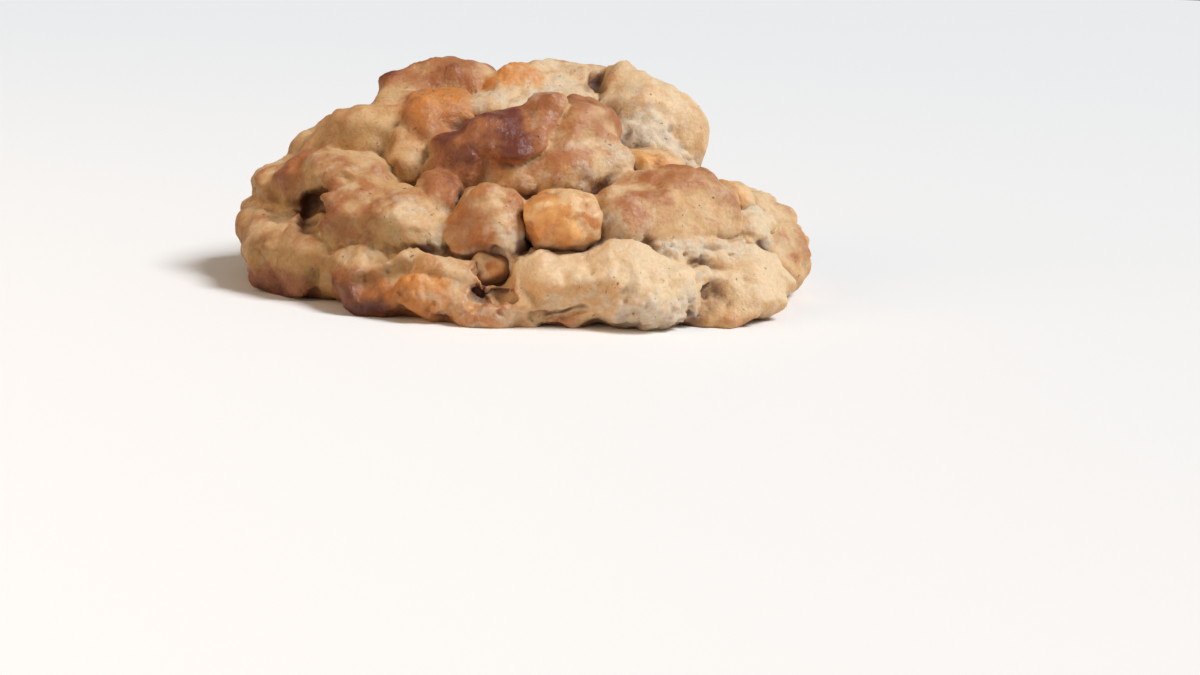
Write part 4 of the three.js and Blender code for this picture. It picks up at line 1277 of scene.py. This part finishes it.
def baked_dough():
    """Colour by what is stored on the points, broken up by noise of several sizes."""
    f = Finish("baked_dough")
    patch = f.noise(3.4)
    browned_at = f.uneven(f.uneven(f.stored("browned"), f.noise(9.0), 0.25), patch, 0.2)
    tones = {"browned": browned_at, "orange": f.uneven(f.stored("orange"), patch, 0.25),
             "pale": f.uneven(f.stored("pale"), f.noise(2.4), 0.3), "hollow_and_shade": f.stored("hollow_and_shade")}
    colour = f.mix(f.ramp(f.noise(14.0, 2.0), 0.35, 0.65), DOUGH_TAN, DOUGH_WARM)
    colour = f.mix(f.ramp(f.noise(6.0, 2.0), 0.5, 0.75, 0.0, 0.5), colour, CREAM_AND_PAINTED_LIGHT)
    # partly painted light: cream on hardly browned dough that lies open to the sky on the right
    colour = f.mix(f.math("MULTIPLY", f.stored("cream_and_painted_light"), CREAM_AND_LIGHT_SHARE), colour, CREAM_AND_PAINTED_LIGHT)
    colour = f.layered(colour, DOUGH_LAYERS, tones)
    # painted warm shade on the left side's steep faces
    colour = f.mix(f.stored("left_side_shade"), colour, WARM_PAINTED_SHADE, "MULTIPLY")
    grain = f.noise(0.6, 4.0, 0.6)
    colour = f.grained(colour, GRAIN_SHARE, grain, 0.78, 1.18)
    speck = f.ramp(f.noise(0.8, 2.0), 0.66, 0.72)
    speck = f.math("MULTIPLY", speck, f.ramp(f.noise(4.0, 2.0), 0.42, 0.58))
    colour = f.mix(f.math("MULTIPLY", speck, SPECK_SHARE), colour, SPECK_BROWN)
    f.set(f.surface.inputs["Base Color"], colour)
    rough = f.ramp(browned_at, 0.3, 1.1, 0.6, 0.44)
    f.set(f.surface.inputs["Roughness"], f.uneven(rough, grain, -0.1))
    f.let_light_in((1.0, 0.5, 0.25), 0.0014)
    f.bump(f.math("ADD", grain, f.math("MULTIPLY", f.noise(1.3), 0.9)))
    return f.material


dough.data.materials.append(baked_dough())
print("finish:", dough.data.materials[0].name, len(dough.data.materials[0].node_tree.nodes), "nodes")

# %% [markdown]
# Waxy chips
#
# The chips are smoother and more even than the dough, orange-brown with lighter blooms and
# tiny oily glints, so their finish has a lower roughness that varies in small dots. The
# layers over it are the dough that clings to a chip and painted shade, brown and then
# darker, where a chip sees little sky, as one deep in a crack does.

# %% The chips' finish
CHIP_ORANGE = linear(200, 126, 68)
CHIP_LIGHT = linear(232, 176, 108)
# an orange-brown of the chip, also used for its painted shade
CHIP_BROWN_AND_SHADE = linear(146, 82, 50)
CHIP_SMEAR = linear(228, 194, 148)
CHIP_LAYERS = (
    ("smeared", 0.2, 0.85, 0.8, CHIP_SMEAR),
    # painted shade where a chip sees little sky: brown, then darker
    ("shaded", 0.1, 1.0, 0.6, CHIP_BROWN_AND_SHADE),
    ("shaded", 0.6, 1.0, 0.6, CRACK_PAINTED_SHADE),
)
CHIP_GRAIN_SHARE = 0.3


def peanut_butter_chip():
    """Two slow mixes of three oranges, then the dough that clings to it and painted shade where
    it sees little sky, a slight grain and a dotted roughness."""
    f = Finish("peanut_butter_chip")
    tones = {"smeared": f.uneven(f.stored("smeared"), f.noise(1.8, 4.0), 0.3),
             "shaded": f.stored("shaded")}
    colour = f.mix(f.ramp(f.noise(5.0), 0.35, 0.65), CHIP_ORANGE, CHIP_LIGHT)
    colour = f.mix(f.ramp(f.noise(3.0), 0.5, 0.75, 0.0, 0.7), colour, CHIP_BROWN_AND_SHADE)
    colour = f.layered(colour, CHIP_LAYERS, tones)
    grain = f.noise(0.6, 4.0, 0.6)
    colour = f.grained(colour, CHIP_GRAIN_SHARE, grain, 0.8, 1.15)
    f.set(f.surface.inputs["Base Color"], colour)
    dots = f.noise(0.8, 2.0)
    f.set(f.surface.inputs["Roughness"], f.ramp(dots, 0.5, 0.7, 0.5, 0.26))
    f.let_light_in((1.0, 0.5, 0.2), 0.0016)
    f.bump(f.math("ADD", grain, f.noise(1.6)))
    return f.material


chip_finish = peanut_butter_chip()
for chip in chips:
    chip.data.materials.append(chip_finish)
print("finish:", chip_finish.name, len(chip_finish.node_tree.nodes), "nodes")

# %% [markdown]
# A pale studio
#
# The floor is a wide, nearly white sheet. The main light comes from so far above and to the
# right that the floor is lit evenly, a weak warm lamp stands to the left, and a pale sky
# fills the shadows.

# %% Floor, lamps and sky
FLOOR_HALF = 3.0
FLOOR_WHITE = (0.94, 0.94, 0.94, 1.0)
KEY_PLACE, KEY_SPREAD, KEY_STRENGTH = (0.44, -0.13, 0.56), 22, 3.0
KEY_COLOUR = (0.94, 0.97, 1.0)
LEFT_PLACE, LEFT_SIDE, LEFT_POWER = (-0.45, -0.3, 0.22), 0.4, 1.2
LEFT_COLOUR = (1.0, 0.64, 0.32)
SKY_STRENGTH, SKY_COLOUR = 0.23, (1.0, 0.98, 0.95, 1.0)


def make_floor():
    """One flat square at z = 0."""
    mesh = bpy.data.meshes.new("floor")
    h = FLOOR_HALF
    mesh.from_pydata([(-h, -h, 0), (h, -h, 0), (h, h, 0), (-h, h, 0)], [], [(0, 1, 2, 3)])
    floor = bpy.data.objects.new("floor", mesh)
    bpy.context.collection.objects.link(floor)
    finish = Finish("floor_white")
    finish.surface.inputs["Base Color"].default_value = FLOOR_WHITE
    finish.surface.inputs["Roughness"].default_value = 0.8
    mesh.materials.append(finish.material)


def make_lamp(kind, name, place, strength, colour):
    """A lamp that looks at the cookie's middle."""
    data = bpy.data.lights.new(name, kind)
    data.energy, data.color = strength, colour
    lamp = bpy.data.objects.new(name, data)
    lamp.location = place
    lamp.rotation_euler = (Vector((0, 0, 0.015)) - Vector(place)).to_track_quat("-Z", "Y").to_euler()
    bpy.context.collection.objects.link(lamp)
    return data


make_floor()
key = make_lamp("SUN", "key_lamp", KEY_PLACE, KEY_STRENGTH, KEY_COLOUR)
key.angle = math.radians(KEY_SPREAD)
left = make_lamp("AREA", "left_lamp", LEFT_PLACE, LEFT_POWER, LEFT_COLOUR)
left.size = LEFT_SIDE
world = bpy.data.worlds.new("pale_sky")
world.use_nodes = True
world.node_tree.nodes["Background"].inputs["Color"].default_value = SKY_COLOUR
world.node_tree.nodes["Background"].inputs["Strength"].default_value = SKY_STRENGTH
bpy.context.scene.world = world
bpy.context.scene.view_settings.view_transform = "Standard"
print("lamps:", key.name, left.name)
